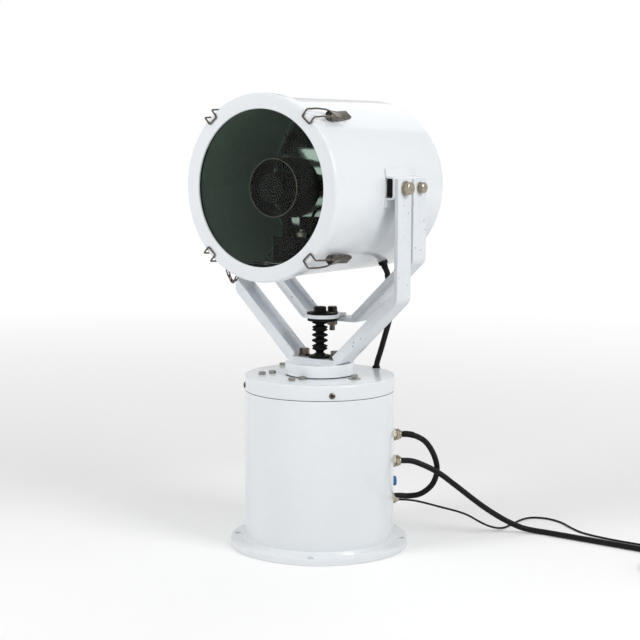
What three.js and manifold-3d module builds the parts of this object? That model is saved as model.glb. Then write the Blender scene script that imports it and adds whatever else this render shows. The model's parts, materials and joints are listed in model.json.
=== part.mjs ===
// Marine searchlight: a drum lamp that tilts in a yoke, which pans on a round pedestal.
// Lengths are in millimetres. +Z is up, the lamp shines along -Y, and the origin is the middle of
// the pedestal flange's underside.
import * as THREE from 'three';
import { mergeVertices } from 'three/addons/utils/BufferGeometryUtils.js';
import Module from 'manifold-3d';

const wasm = await Module();
wasm.setup();

// Fits shared by the whole lamp
const gap = 0.3; // between pieces that touch
const runningGap = 0.5; // between pieces that turn or slide on each other
const overrun = 4; // how far a cut runs past what it cuts
const sides = { large: 36, medium: 16, hole: 32, small: 8, hex: 6, wire: 8, fine: 5, arc: 12 };
const quarterTurn = 90;
const degree = Math.PI / 180;

// Pedestal
const flange = {
  rim: 30.2, // outside the pedestal's wall
  thickness: 13.3,
  holeRadius: 7.25,
  holeOut: 16.7, // from the pedestal's wall
  holeCount: 4,
  firstHoleAngle: -60,
};
const pedestal = {
  radius: 159.3,
  wall: 4.3,
  height: 320.4,
  spigotWall: 4,
  spigotHeight: 26,
  spigotRoot: 12,
};
const lid = {
  overhang: 0.7, // outside the pedestal's wall
  height: 32,
  plate: 6,
  wall: 4,
  edge: 2,
  bossRadius: 62,
  bossDepth: 20,
  bossWall: 12,
};
const rimScrew = {
  count: 4,
  firstAngle: 45,
  drop: 20.7,
  radius: 3,
  headRadius: 6.5,
  headHeight: 3,
  length: 12,
};
const lidBolts = {
  shankRadius: 4,
  flats: 13,
  headHeight: 5.5,
  washerRadius: 13,
  washerThickness: 2,
  washered: [98.3, -12],
  plainInset: 14.91, // from the lid's rim
  plainAngle: 160.3,
};
const cableFoot = { inset: 8.84, angle: 71.08, collarRadius: 8, collarHeight: 5 };

// Drive under the lid: a bracket, a geared motor, a belt and two pulleys
const bracket = {
  length: 130,
  width: 44,
  plate: 8,
  floor: 6,
  leg: 6,
  drop: 65,
  x: -39.5,
  y: -80.9,
  angle: -15.7,
  boltAlong: 51.9,
  boltAcross: 13.6,
};
const motor = {
  radius: 30,
  length: 112,
  shaftRadius: 6,
  socketDepth: 20,
};
const pulley = {
  shaftRadius: 60,
  motorRadius: 20,
  width: 14,
  rim: 3,
  cheek: 2,
  drop: 44.7,
};
const belt = { thickness: 4.5 };
const bearing = { height: 18 };

// Cable glands and fittings on the pedestal wall, each at an angle in degrees and a height
const gland = {
  flats: 24,
  hexLength: 7.5,
  domeRadius: 11,
  tipRadius: 8.6,
  domeLength: 11,
  threadRadius: 9.7,
};
const threadReach = 14;
const glandPlaces = {
  control_gland: { angle: 45, height: 230 },
  power_gland: { angle: 45, height: 172 },
  return_gland: { angle: 60, height: 82.5 },
};
const portPlug = { angle: 45, height: 128, headRadius: 9.5, headLength: 6, threadRadius: 7.5 };
const leadFitting = {
  angle: 45,
  height: 86,
  flats: 14,
  hexLength: 8,
  tipRadius: 4,
  tipLength: 7,
  threadRadius: 5,
};

// Turntable and what hangs in it
const turntable = {
  radius: 73.7,
  height: 25.2,
  lift: 1.6,
  boreRadius: 20,
  shaftRadius: 34,
  shaftWall: 6,
};
const shaftLength = 112;
const actuator = { radius: 24, length: 137, flangeThickness: 7.5, floor: 15 };

// Yoke: one flat bar bent into a U, with turned-in edges along its two slopes
const yoke = {
  width: 50,
  thickness: 8,
  bend: 65,
  slope: 44,
  headroom: 19,
  edgeDepth: 22.5,
  edgeWall: 4.5,
  drainRadius: 2.5,
  drainX: 60,
  drainRise: 12.2,
};
const yokeBolt = {
  x: 40.4,
  radius: 6,
  flats: 19,
  headHeight: 12,
  washerRadius: 13,
  washerThickness: 2.5,
  grip: 14,
};

// Tilt frame: the second bent bar behind the yoke, lifted by the push rod
const tiltBar = {
  width: 50,
  thickness: 8,
  bend: 71,
  slope: 44,
  headroom: 18,
  edgeDepth: 20,
  edgeWall: 4.5,
  behind: 8,
  rise: 84.5,
};
const lug = { thickness: 8, radius: 35.5, y: 9, strapWidth: 50, strapEnd: 62 };
const lugBolt = {
  y: 45,
  radius: 6,
  flats: 19,
  headHeight: 8,
  washerRadius: 12,
  washerThickness: 2.5,
  nut: 10,
  tail: 12,
};
const pad = { radius: 33, thickness: 3, screwRadius: 2.5, screwHeight: 1, screwX: 24 };
const clamp = { radius: 32, thickness: 6 };
const pushRod = {
  radius: 6,
  collarRadius: 10,
  washerRadius: 18,
  washerThickness: 1.5,
  flats: 24,
  nutHeight: 11.5,
};
const rodEngagement = 97;

// Ribbed rubber sleeve round the push rod
const sleeve = { ribRadius: 17.3, waistRadius: 8.4, wall: 1.2, ribs: 5, crestShare: 0.36, sides: 8 };
const sleeveFoot = { radius: 24, thickness: 5, neckRadius: 12, height: 9.4 };

// Lamp drum and front, measured forward from the tilt axis
const drum = {
  radius: 181,
  wall: 3,
  back: 205,
  edge: 15,
  arcSteps: 3,
  clearance: 105.7,
};
const bezel = {
  radius: 188,
  opening: 157,
  face: 208.6,
  plate: 4,
  skirtWall: 3.5,
  skirtLength: 25.1,
  edge: 1.2,
};
const glass = { radius: 168, thickness: 6 };
const seal = { lipRadius: 160, lip: 4.7 };
const hat = {
  stand: 20.5,
  webHalf: 18.5,
  footHalf: 36,
  wall: 4,
  footWall: 5,
  front: 27,
  back: 85,
};
const pivot = { radius: 8, flats: 24, headHeight: 10, washerRadius: 15, washerThickness: 3, nut: 8 };
const tiltPin = {
  radius: 6,
  flats: 19,
  headHeight: 8,
  washerRadius: 12,
  washerThickness: 2.5,
  nut: 6,
  behind: 56,
};
const tiltLimit = 20;
const slotPlay = 0.75;
const drumGland = { angle: -63.7, behind: 118, flats: 20, hexLength: 6, tipRadius: 7, tipLength: 10 };

// Inside the drum
const reflector = {
  vertex: -140,
  focus: 92.4,
  rimRadius: 172,
  boreRadius: 14,
  wall: 2.5,
  rimThickness: 3,
  rings: 3,
};
const bulb = {
  radius: 22,
  stemRadius: 7,
  rearRadius: 9,
  capRadius: 11,
  halfLength: 32,
  shoulderShare: 0.7,
  rearEnd: -165,
  rearCap: 45,
};
const bulbCap = { length: 79.7, seat: 15 };
const holder = { radius: 29.5, front: 170, length: 65, postWidth: 12, postCentre: 123, neckShare: 0.85 };
const igniter = {
  halfWidth: 24.5,
  top: -95,
  bottom: -143.7,
  back: 72,
  front: 132,
  foot: 8,
  screwRadius: 3,
};
const junction = { lowerHalf: 34, upperHalf: 28, step: -91, top: -57, back: 20, front: 60, setback: 4 };
const tray = { top: -152, thickness: 8, back: -50, front: 150 };
const shield = {
  radius: 58,
  wall: 2,
  back: 103,
  front: 163,
  hubWall: 2.2,
  hubBack: 135,
  hubFront: 150,
  spokes: 3,
};
const spoke = { thickness: 3, back: 137, front: 148 };

// Over-centre latches on the drum, each at an angle round the lamp's axis
const latch = {
  angles: [49, 131, -47.5, -133],
  pivotRadius: 187,
  pivotForward: 140,
  pinRadius: 2,
  lugRadius: 5,
  lugHalf: 4.6,
  channelHalf: 5.5,
  bottom: 184,
  roof: 193,
  top: 196,
  tail: 82,
  nose: 4.8,
  roofEnd: 1,
};
const bail = {
  wireRadius: 1.5,
  halfWidth: 11.75,
  pivotRadius: 191,
  pivotForward: 128,
  barRadius: 177,
  tip: 6.5,
};

// Safety chain between the bezel's rim and the drum, hanging in a V
const chain = {
  wireRadius: 1.2,
  halfWidth: 3.6,
  forward: 196,
  rimRise: 2.9,
  firstAngle: -119,
  lastAngle: -110,
  links: 5,
  sagShare: 0.12,
  tabHalf: 3,
};

// Free cords: points of each route from the wall at the cords' side, then the coil of what is left over
const cordSide = 45; // angle round the pedestal, in degrees
const cord = {
  thickRadius: 6.25,
  thinRadius: 2.25,
  lampRadius: 5.5,
  rest: 0.05,
  thickSides: 10,
  thinSides: 8,
};
const controlRoute = [
  [33.36, 35.36, 226],
  [47.06, 58.66, 210.4],
  [57.36, 79.46, 177.4],
  [58.36, 90.96, 142.8],
  [46.36, 90.96, 108.8],
  [22.66, 80.56, 86.6],
  [-0.64, 71.36, 80.5],
];
const powerRoute = [
  [36.36, 36.36, 168],
  [52.36, 52.36, 158],
  [72.36, 72.36, 143],
  [99.36, 99.36, 114],
  [148.36, 148.36, 60],
  [188.36, 188.36, 25],
  [217.36, 214.36, 9],
  [243.36, 224.36, 6.3],
  [280.36, 224.86, 6.3],
  [367.36, 224.86, 6.3],
  [487.36, 224.86, 6.3],
  [567.36, 224.86, 6.3],
];
const earthRoute = [
  [37.36, 37.36, 81.5],
  [76.36, 76.36, 66],
  [116.36, 116.36, 48],
  [145.36, 147.36, 24],
  [153.36, 187.36, 8],
  [157.36, 217.36, 2.3],
  [158.36, 248.36, 2.3],
  [156.36, 290.36, 2.3],
  [163.36, 330.36, 2.3],
  [193.36, 346.36, 2.3],
  [235.36, 337.36, 2.3],
  [271.36, 312.36, 2.3],
  [317.36, 283.36, 2.3],
  [387.36, 270.36, 2.3],
  [462.36, 269.36, 2.3],
];
// The lamp cable's heights are above the lid, so that it moves with what it joins
const lampRouteUpper = [
  [92, 118.6, 206.3],
  [96.2, 121.5, 186.3],
  [97, 126, 158.3],
  [94.2, 129.6, 136.3],
];
const lampRouteLower = [
  [82.5, 135.5, 86.3],
  [74, 139, 64.3],
  [60, 142.2, 36.3],
];
const lampJoint = [88.6, 132.8, 109.3];
const powerCoil = {
  x: 619.36,
  y: 142.86,
  outerRadius: 82,
  pitch: 13.4,
  turns: 2.3,
  layer: 13.3,
  startAngle: 90,
  turning: -1,
  tailSpread: 12,
  tailTurn: 0.25,
};
const earthCoil = {
  x: 517.36,
  y: 301.36,
  outerRadius: 32,
  pitch: 5.4,
  turns: 1.85,
  layer: 5.2,
  startAngle: -90,
  turning: 1,
  tailSpread: 6,
  tailTurn: 0.25,
};
const coilSteps = 24;
const fineShare = 4; // finer steps, to measure a coil's gap to itself
const coilSides = 6;
const coilClimb = 0.5; // turns that the cord takes to climb to a coil's second layer
const cordStepShare = 3; // steps along a free cord, in cord diameters
const plug = { radius: 14, length: 52, nutRadius: 11, nutLength: 16, boreRadius: 10.5, boreDepth: 14 };
const earthLug = {
  barrelRadius: 3.2,
  barrelLength: 10,
  width: 11,
  thickness: 1.6,
  length: 14,
  holeRadius: 3.2,
};

const finishes = {
  whitePaint: { color: 0xe8ecf0, roughness: 0.3, metalness: 0 },
  blackPaint: { color: 0x1c1d20, roughness: 0.6, metalness: 0.1 },
  blackRubber: { color: 0x141415, roughness: 0.85, metalness: 0 },
  steel: { color: 0x9b9a96, roughness: 0.35, metalness: 1 },
  darkSteel: { color: 0x6d6257, roughness: 0.4, metalness: 1 },
  brass: { color: 0xb9a477, roughness: 0.35, metalness: 1 },
  aluminium: { color: 0xc9cccd, roughness: 0.3, metalness: 1 },
  bluePlastic: { color: 0x2a6fb5, roughness: 0.45, metalness: 0 },
  tintedGlass: { color: 0x24382f, roughness: 0.05, metalness: 0 },
  quartz: { color: 0xdfe6ea, roughness: 0.05, metalness: 0 },
};

// Radii, places and heights that follow from the sizes above
const flangeRadius = pedestal.radius + flange.rim;
const holePitchRadius = pedestal.radius + flange.holeOut;
const lidRadius = pedestal.radius + lid.overhang;
const [footX, footY] = onCircle(lidRadius - cableFoot.inset, cableFoot.angle, 0);
const [wallX, wallY] = onCircle(pedestal.radius, cordSide, 0);
const pedestalTop = flange.thickness + pedestal.height;
const lidTop = pedestalTop + lid.height;
const lidPlateBottom = lidTop - lid.plate;
const tableBottom = lidTop + turntable.lift;
const tableTop = tableBottom + turntable.height;
const yokeBottom = tableTop + gap;
const yokeFloorTop = yokeBottom + yoke.thickness;
const tiltBottom = yokeBottom + tiltBar.rise;
const axisHeight = tiltBottom + drum.clearance + drum.radius;
const webOuter = drum.radius + hat.stand;
const armReach = webOuter + runningGap + yoke.thickness;
const tiltFloorTop = tiltBottom + tiltBar.thickness;
const lugBottom = tiltFloorTop + gap;
const lugTop = lugBottom + lug.thickness;
const padBottom = lugTop + gap;
const padTop = padBottom + pad.thickness;
const tiltFront = yoke.width / 2 + tiltBar.behind;
const tiltBack = tiltFront + tiltBar.width;
const shaftEnd = tableBottom - shaftLength;
const clampBottom = lugBottom - gap - clamp.thickness;

// Solids from three.js geometry

function withoutSlivers(index) {
  const kept = [];
  for (let i = 0; i < index.length; i += 3) {
    const [a, b, c] = [index[i], index[i + 1], index[i + 2]];
    if (a !== b && b !== c && c !== a) kept.push(a, b, c);
  }
  return kept;
}

function signedVolume(positions, index) {
  const corner = (i) => new THREE.Vector3().fromArray(positions, index[i] * 3);
  let volume = 0;
  for (let i = 0; i < index.length; i += 3) {
    volume += corner(i).dot(corner(i + 1).cross(corner(i + 2))) / 6;
  }
  return volume;
}

function solidOf(geometry) {
  const bare = geometry.clone();
  bare.deleteAttribute('normal');
  bare.deleteAttribute('uv');
  const merged = mergeVertices(bare);
  const positions = merged.attributes.position.array;
  const index = withoutSlivers(merged.index.array);
  if (signedVolume(positions, index) < 0) index.reverse();
  return new wasm.Manifold(
    new wasm.Mesh({ numProp: 3, vertProperties: positions, triVerts: new Uint32Array(index) }),
  );
}

function joined(...solids) {
  return solids.flat().reduce((whole, next) => whole.add(next));
}

function cut(solid, ...tools) {
  return tools.flat().reduce((whole, tool) => whole.subtract(tool), solid);
}

function meshOf(name, solid, finish) {
  const { vertProperties, triVerts } = solid.getMesh();
  const geometry = new THREE.BufferGeometry();
  geometry.setAttribute('position', new THREE.BufferAttribute(new Float32Array(vertProperties), 3));
  geometry.setIndex(new THREE.BufferAttribute(new Uint32Array(triVerts), 1));
  geometry.computeVertexNormals();
  const mesh = new THREE.Mesh(geometry, new THREE.MeshStandardMaterial(finish));
  mesh.name = name;
  return mesh;
}

// A solid turned about Z: each profile point is [radius, height], and the profile closes on itself.
function turned(profile, count = sides.large) {
  const points = [...profile, profile[0]].map(([radius, height]) => new THREE.Vector2(radius, height));
  const geometry = new THREE.LatheGeometry(points, count);
  geometry.rotateX(quarterTurn * degree);
  return solidOf(geometry);
}

function ring(outer, inner, low, high, count = sides.large) {
  return turned([[inner, low], [outer, low], [outer, high], [inner, high]], count);
}

function disc(radius, low, high, count = sides.large) {
  return turned([[0, low], [radius, low], [radius, high], [0, high]], count);
}

function block(low, high) {
  const size = high.map((value, axis) => value - low[axis]);
  const middle = high.map((value, axis) => (value + low[axis]) / 2);
  return solidOf(new THREE.BoxGeometry(...size).translate(...middle));
}

// A round or hexagonal bar between two points, which may taper
function bar(start, end, radius, count = sides.small, endRadius = radius) {
  const from = new THREE.Vector3(...start);
  const run = new THREE.Vector3(...end).sub(from);
  const geometry = new THREE.CylinderGeometry(endRadius, radius, run.length(), count);
  const drawnAlong = new THREE.Vector3(0, 1, 0);
  const turn = new THREE.Quaternion().setFromUnitVectors(drawnAlong, run.clone().normalize());
  geometry.applyQuaternion(turn);
  geometry.translate(...from.addScaledVector(run, 1 / 2).toArray());
  return solidOf(geometry);
}

function upright(x, y, low, high, radius, count = sides.small) {
  return bar([x, y, low], [x, y, high], radius, count);
}

function hexRadius(flats) {
  return flats / Math.sqrt(3);
}

function outline(points) {
  return new THREE.Shape(points.map(([x, y]) => new THREE.Vector2(x, y)));
}

function extrusionTo(depth) {
  return { depth, bevelEnabled: false, curveSegments: sides.arc };
}

function prismAlongZ(shape, low, high) {
  const geometry = new THREE.ExtrudeGeometry(shape, extrusionTo(high - low));
  return solidOf(geometry.translate(0, 0, low));
}

// The shape is drawn in X and Z
function prismAlongY(shape, low, high) {
  const geometry = new THREE.ExtrudeGeometry(shape, extrusionTo(high - low));
  return solidOf(geometry.rotateX(quarterTurn * degree).translate(0, high, 0));
}

// The radius that clears the middles of a large round piece's flat facets
function insideFacets(radius) {
  return radius * Math.cos(Math.PI / sides.large);
}

function onCircle(radius, angle, height) {
  return [radius * Math.cos(angle * degree), radius * Math.sin(angle * degree), height];
}

// A rod of several straight runs, with each corner mitred; a closed one comes back to its start
function bentRod(points, radius, count, closed = false) {
  const path = points.map((point) => new THREE.Vector3(...point));
  const total = path.length;
  const runs = path.map((point, i) => path[(i + 1) % total].clone().sub(point).normalize());
  const lead = runs[0];
  const across = new THREE.Vector3(0, 0, 1).cross(lead);
  if (across.lengthSq() < Number.EPSILON) across.set(1, 0, 0);
  across.normalize();
  const upward = lead.clone().cross(across);
  const section = Array.from({ length: count }, (_, k) => {
    const angle = (k / count) * 360 * degree;
    const spread = across.clone().multiplyScalar(radius * Math.cos(angle));
    return spread.addScaledVector(upward, radius * Math.sin(angle));
  });
  const slideTo = (point, centre, run, normal) => {
    const away = centre.clone().sub(point).dot(normal) / run.dot(normal);
    return point.clone().addScaledVector(run, away);
  };
  const rings = [];
  for (let i = 0; i < total; i += 1) {
    const inward = i === 0 && !closed ? runs[0] : runs[(i + total - 1) % total];
    const outward = i === total - 1 && !closed ? inward : runs[i];
    const normal = inward.clone().add(outward).normalize();
    const before = rings.length ? rings[i - 1] : section.map((offset) => offset.clone().add(path[0]));
    const along = rings.length ? inward : runs[0];
    rings.push(before.map((point) => slideTo(point, path[i], along, normal)));
  }
  const positions = rings.flat().flatMap((point) => point.toArray());
  const index = [];
  for (let i = 0; i < (closed ? total : total - 1); i += 1) {
    for (let k = 0; k < count; k += 1) {
      const [a, b] = [i * count + k, i * count + ((k + 1) % count)];
      const [c, d] = [((i + 1) % total) * count + k, ((i + 1) % total) * count + ((k + 1) % count)];
      index.push(a, b, d, a, d, c);
    }
  }
  const last = (total - 1) * count;
  for (let k = 1; k < count - 1 && !closed; k += 1) {
    index.push(0, k + 1, k, last, last + k, last + k + 1);
  }
  const geometry = new THREE.BufferGeometry();
  geometry.setAttribute('position', new THREE.Float32BufferAttribute(positions, 3));
  geometry.setIndex(index);
  return solidOf(geometry);
}

function smoothCurve(points) {
  const knots = points.map((point) => new THREE.Vector3(...point));
  return new THREE.CatmullRomCurve3(knots, false, 'centripetal');
}

// A cord's tube along a smooth curve through its points
function cordTube(points, radius, count) {
  const curve = smoothCurve(points);
  const steps = Math.ceil(curve.getLength() / (cordStepShare * 2 * radius));
  const section = outline(Array.from({ length: count }, (_, k) => onCircle(radius, (k / count) * 360, 0)));
  return solidOf(new THREE.ExtrudeGeometry(section, { steps, bevelEnabled: false, extrudePath: curve }));
}

function routeLength(points) {
  return smoothCurve(points).getLength();
}

// Pedestal pieces

function makeFlange() {
  const holes = Array.from({ length: flange.holeCount }, (_, i) => {
    const angle = flange.firstHoleAngle + (i * 360) / flange.holeCount;
    const [x, y] = onCircle(holePitchRadius, angle, 0);
    return upright(x, y, -overrun, flange.thickness + overrun, flange.holeRadius, sides.hole);
  });
  return cut(disc(flangeRadius, 0, flange.thickness), holes);
}

function wallHole(place, radius) {
  const inside = onCircle(pedestal.radius - pedestal.wall - overrun, place.angle, place.height);
  const outside = onCircle(pedestal.radius + overrun, place.angle, place.height);
  return bar(inside, outside, radius + gap);
}

function rimScrewPlaces() {
  return Array.from({ length: rimScrew.count }, (_, i) => rimScrew.firstAngle + (i * 360) / rimScrew.count);
}

function makePedestal() {
  const spigotRadius = lidRadius - lid.wall - gap;
  const shell = ring(pedestal.radius, pedestal.radius - pedestal.wall, flange.thickness, pedestalTop);
  const spigot = ring(
    spigotRadius,
    spigotRadius - pedestal.spigotWall,
    pedestalTop - pedestal.spigotRoot,
    pedestalTop + pedestal.spigotHeight - lid.plate,
  );
  const height = lidTop - rimScrew.drop;
  const screwHoles = rimScrewPlaces().map((angle) =>
    bar(
      onCircle(lidRadius - lid.wall - pedestal.spigotWall - overrun, angle, height),
      onCircle(lidRadius, angle, height),
      rimScrew.radius + gap,
    ),
  );
  const glandHoles = Object.values(glandPlaces).map((place) => wallHole(place, gland.threadRadius));
  return cut(
    joined(shell, spigot),
    screwHoles,
    glandHoles,
    wallHole(portPlug, portPlug.threadRadius),
    wallHole(leadFitting, leadFitting.threadRadius),
  );
}

function bracketBoltPlaces() {
  const [cosine, sine] = [Math.cos(bracket.angle * degree), Math.sin(bracket.angle * degree)];
  const signs = [[1, 1], [1, -1], [-1, 1], [-1, -1]];
  return signs.map(([u, v]) => {
    const [along, across] = [u * bracket.boltAlong, v * bracket.boltAcross];
    return [bracket.x + along * cosine - across * sine, bracket.y + along * sine + across * cosine];
  });
}

function makeLid() {
  const low = pedestalTop + gap;
  const bossBottom = lidPlateBottom - lid.bossDepth;
  const shaftClearance = turntable.shaftRadius + lid.edge;
  const bossBore = lid.bossRadius - lid.bossWall;
  const shell = turned([
    [shaftClearance, lidTop],
    [lidRadius - lid.edge, lidTop],
    [lidRadius, lidTop - lid.edge],
    [lidRadius, low],
    [lidRadius - lid.wall, low],
    [lidRadius - lid.wall, lidPlateBottom],
    [lid.bossRadius, lidPlateBottom],
    [lid.bossRadius, bossBottom],
    [bossBore, bossBottom],
    [bossBore, lidPlateBottom],
    [shaftClearance, lidPlateBottom],
  ]);
  const height = lidTop - rimScrew.drop;
  const screws = rimScrewPlaces().flatMap((angle) => [
    bar(
      onCircle(lidRadius - rimScrew.length, angle, height),
      onCircle(lidRadius, angle, height),
      rimScrew.radius,
    ),
    bar(
      onCircle(lidRadius - lid.edge, angle, height),
      onCircle(lidRadius + rimScrew.headHeight, angle, height),
      rimScrew.headRadius,
    ),
  ]);
  const [washeredX, washeredY] = lidBolts.washered;
  const [plainX, plainY] = onCircle(lidRadius - lidBolts.plainInset, lidBolts.plainAngle, 0);
  const washerTop = lidTop + lidBolts.washerThickness;
  const headRadius = hexRadius(lidBolts.flats);
  const bolts = [
    upright(washeredX, washeredY, lidPlateBottom, washerTop, lidBolts.washerRadius, sides.medium),
    upright(washeredX, washeredY, lidTop, washerTop + lidBolts.headHeight, headRadius, sides.hex),
    upright(plainX, plainY, lidPlateBottom, lidTop + lidBolts.headHeight, headRadius, sides.hex),
  ];
  const collarTop = lidTop + cableFoot.collarHeight;
  const collar = upright(footX, footY, lidPlateBottom, collarTop, cableFoot.collarRadius);
  const holes = bracketBoltPlaces().map(([x, y]) =>
    upright(x, y, lidPlateBottom - overrun, lidTop + overrun, lidBolts.shankRadius + gap),
  );
  return cut(joined(shell, screws, bolts, collar), holes);
}

function makeBracket() {
  const top = lidPlateBottom - gap;
  const [long, wide] = [bracket.length / 2, bracket.width / 2];
  const bottom = top - bracket.drop;
  const frame = cut(
    block([-long, -wide, bottom], [long, wide, top]),
    block(
      [bracket.leg - long, -wide - overrun, bottom + bracket.floor],
      [long - bracket.leg, wide + overrun, top - bracket.plate],
    ),
    upright(0, 0, bottom - overrun, bottom + bracket.floor + overrun, motor.shaftRadius + overrun),
  );
  const turnedFrame = frame.rotate([0, 0, bracket.angle]).translate([bracket.x, bracket.y, 0]);
  const bolts = bracketBoltPlaces().flatMap(([x, y]) => [
    upright(x, y, top - bracket.plate, lidTop + lidBolts.headHeight, lidBolts.shankRadius),
    upright(x, y, lidTop + gap, lidTop + gap + lidBolts.headHeight, hexRadius(lidBolts.flats), sides.hex),
  ]);
  return joined(turnedFrame, bolts);
}

function makeMotor() {
  const top = lidPlateBottom - gap - bracket.drop - gap;
  const can = upright(bracket.x, bracket.y, top - motor.length, top, motor.radius, sides.medium);
  const socket = motor.shaftRadius + runningGap;
  return cut(can, upright(bracket.x, bracket.y, top - motor.socketDepth, top + overrun, socket));
}

function pulleyProfile(radius, bore, low) {
  const high = low + pulley.width;
  return [
    [bore, low - pulley.cheek],
    [radius + pulley.rim, low - pulley.cheek],
    [radius + pulley.rim, low],
    [radius, low],
    [radius, high],
    [radius + pulley.rim, high],
    [radius + pulley.rim, high + pulley.cheek],
    [bore, high + pulley.cheek],
  ];
}

const pulleyBottom = lidPlateBottom - pulley.drop;

function makeMotorPulley() {
  const motorTop = lidPlateBottom - gap - bracket.drop - gap;
  const wheel = turned(pulleyProfile(pulley.motorRadius, 0, pulleyBottom), sides.medium);
  const shaft = disc(motor.shaftRadius, motorTop - motor.socketDepth + gap, pulleyBottom, sides.small);
  return joined(wheel, shaft).translate([bracket.x, bracket.y, 0]);
}

function makeShaftPulley() {
  return turned(pulleyProfile(pulley.shaftRadius, turntable.shaftRadius + gap, pulleyBottom), sides.large);
}

function beltLoop(Kind, bigRadius, smallRadius, distance) {
  const contact = Math.acos((bigRadius - smallRadius) / distance);
  const loop = new Kind();
  loop.absarc(0, 0, bigRadius, contact, -contact, false);
  loop.absarc(distance, 0, smallRadius, -contact, contact, false);
  loop.closePath();
  return loop;
}

function makeBelt() {
  const distance = Math.hypot(bracket.x, bracket.y);
  const inner = [pulley.shaftRadius + gap, pulley.motorRadius + gap];
  const outer = inner.map((radius) => radius + belt.thickness);
  const loop = beltLoop(THREE.Shape, ...outer, distance);
  loop.holes.push(beltLoop(THREE.Path, ...inner, distance));
  const low = pulleyBottom + gap;
  const high = pulleyBottom + pulley.width - gap;
  return prismAlongZ(loop, low, high).rotate([0, 0, Math.atan2(bracket.y, bracket.x) / degree]);
}

function makeBearing() {
  const top = lidPlateBottom - gap;
  const outer = lid.bossRadius - lid.bossWall - gap;
  return ring(outer, turntable.shaftRadius + gap, top - bearing.height, top);
}

// Glands are drawn along +X from the pedestal's axis and turned to their angle
function makeGland() {
  const seat = pedestal.radius + gap;
  const domeStart = seat + gland.hexLength;
  const glandEnd = domeStart + gland.domeLength;
  return joined(
    bar([seat, 0, 0], [domeStart, 0, 0], hexRadius(gland.flats), sides.hex),
    bar([domeStart - gap, 0, 0], [glandEnd, 0, 0], gland.domeRadius, sides.medium, gland.tipRadius),
    bar([seat - threadReach, 0, 0], [seat + gap, 0, 0], gland.threadRadius),
  );
}

const glandEnd = pedestal.radius + gap + gland.hexLength + gland.domeLength;

function makePortPlug() {
  const seat = pedestal.radius + gap;
  return joined(
    bar([seat, 0, 0], [seat + portPlug.headLength, 0, 0], portPlug.headRadius, sides.medium),
    bar([seat - threadReach, 0, 0], [seat + gap, 0, 0], portPlug.threadRadius),
  );
}

const leadEnd = pedestal.radius + gap + leadFitting.hexLength + leadFitting.tipLength;

function makeLeadFitting() {
  const seat = pedestal.radius + gap;
  const hexEnd = seat + leadFitting.hexLength;
  return joined(
    bar([seat, 0, 0], [hexEnd, 0, 0], hexRadius(leadFitting.flats), sides.hex),
    bar([hexEnd - gap, 0, 0], [leadEnd, 0, 0], leadFitting.tipRadius),
    bar([seat - threadReach, 0, 0], [seat + gap, 0, 0], leadFitting.threadRadius),
  );
}

function onWall(name, solid, place, finish) {
  const mesh = meshOf(name, solid, finish);
  mesh.rotation.z = place.angle * degree;
  mesh.position.z = place.height;
  return mesh;
}

// Turning pieces

function makeTurntable() {
  const shaftBore = turntable.shaftRadius - turntable.shaftWall;
  const table = turned([
    [turntable.boreRadius, tableTop],
    [turntable.radius, tableTop],
    [turntable.radius, tableBottom],
    [turntable.shaftRadius, tableBottom],
    [turntable.shaftRadius, shaftEnd],
    [shaftBore, shaftEnd],
    [shaftBore, tableBottom],
    [turntable.boreRadius, tableBottom],
  ]);
  const tapped = [-1, 1].map((side) =>
    upright(side * yokeBolt.x, 0, tableTop - yokeBolt.grip, tableTop + overrun, yokeBolt.radius + gap),
  );
  return cut(table, tapped);
}

function makeActuator() {
  const top = shaftEnd - gap;
  const bodyTop = top - actuator.flangeThickness;
  const bodyBottom = bodyTop - actuator.length;
  const bore = pushRod.radius + runningGap;
  return turned([
    [0, bodyBottom],
    [actuator.radius, bodyBottom],
    [actuator.radius, bodyTop],
    [turntable.shaftRadius, bodyTop],
    [turntable.shaftRadius, top],
    [bore, top],
    [bore, bodyBottom + actuator.floor],
    [0, bodyBottom + actuator.floor],
  ], sides.medium);
}

// Outline in X and Z of a flat bar bent into a U with sloping lower legs
function bentBar(frame, bottom) {
  const slope = frame.slope * degree;
  const top = axisHeight + frame.headroom;
  const innerReach = armReach - frame.thickness;
  const outerElbow = bottom + (armReach - frame.bend) * Math.tan(slope);
  const legRise = frame.thickness / Math.cos(slope);
  const innerElbow = bottom + (innerReach - frame.bend) * Math.tan(slope) + legRise;
  const innerBend = frame.bend - frame.thickness * Math.tan(slope / 2);
  const floorTop = bottom + frame.thickness;
  return outline([
    [-armReach, top],
    [-armReach, outerElbow],
    [-frame.bend, bottom],
    [frame.bend, bottom],
    [armReach, outerElbow],
    [armReach, top],
    [innerReach, top],
    [innerReach, innerElbow],
    [innerBend, floorTop],
    [-innerBend, floorTop],
    [-innerReach, innerElbow],
    [-innerReach, top],
  ]);
}

// The edge turned in along one slope: it ends square at the lower bend and at the upright's inner face
function slopeEdge(frame, bottom, side) {
  const slope = frame.slope * degree;
  const innerReach = armReach - frame.thickness;
  const outerElbow = bottom + (armReach - frame.bend) * Math.tan(slope);
  const edgeTop = bottom + (innerReach - frame.bend) * Math.tan(slope) + frame.edgeDepth / Math.cos(slope);
  return outline([
    [side * frame.bend, bottom],
    [side * armReach, outerElbow],
    [side * innerReach, edgeTop],
    [side * (frame.bend - frame.edgeDepth * Math.sin(slope)), bottom + frame.edgeDepth * Math.cos(slope)],
  ]);
}

function bentFrame(frame, bottom, front, back) {
  const edges = [-1, 1].flatMap((side) => [
    prismAlongY(slopeEdge(frame, bottom, side), front, front + frame.edgeWall),
    prismAlongY(slopeEdge(frame, bottom, side), back - frame.edgeWall, back),
  ]);
  return joined(prismAlongY(bentBar(frame, bottom), front, back), edges);
}

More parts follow.
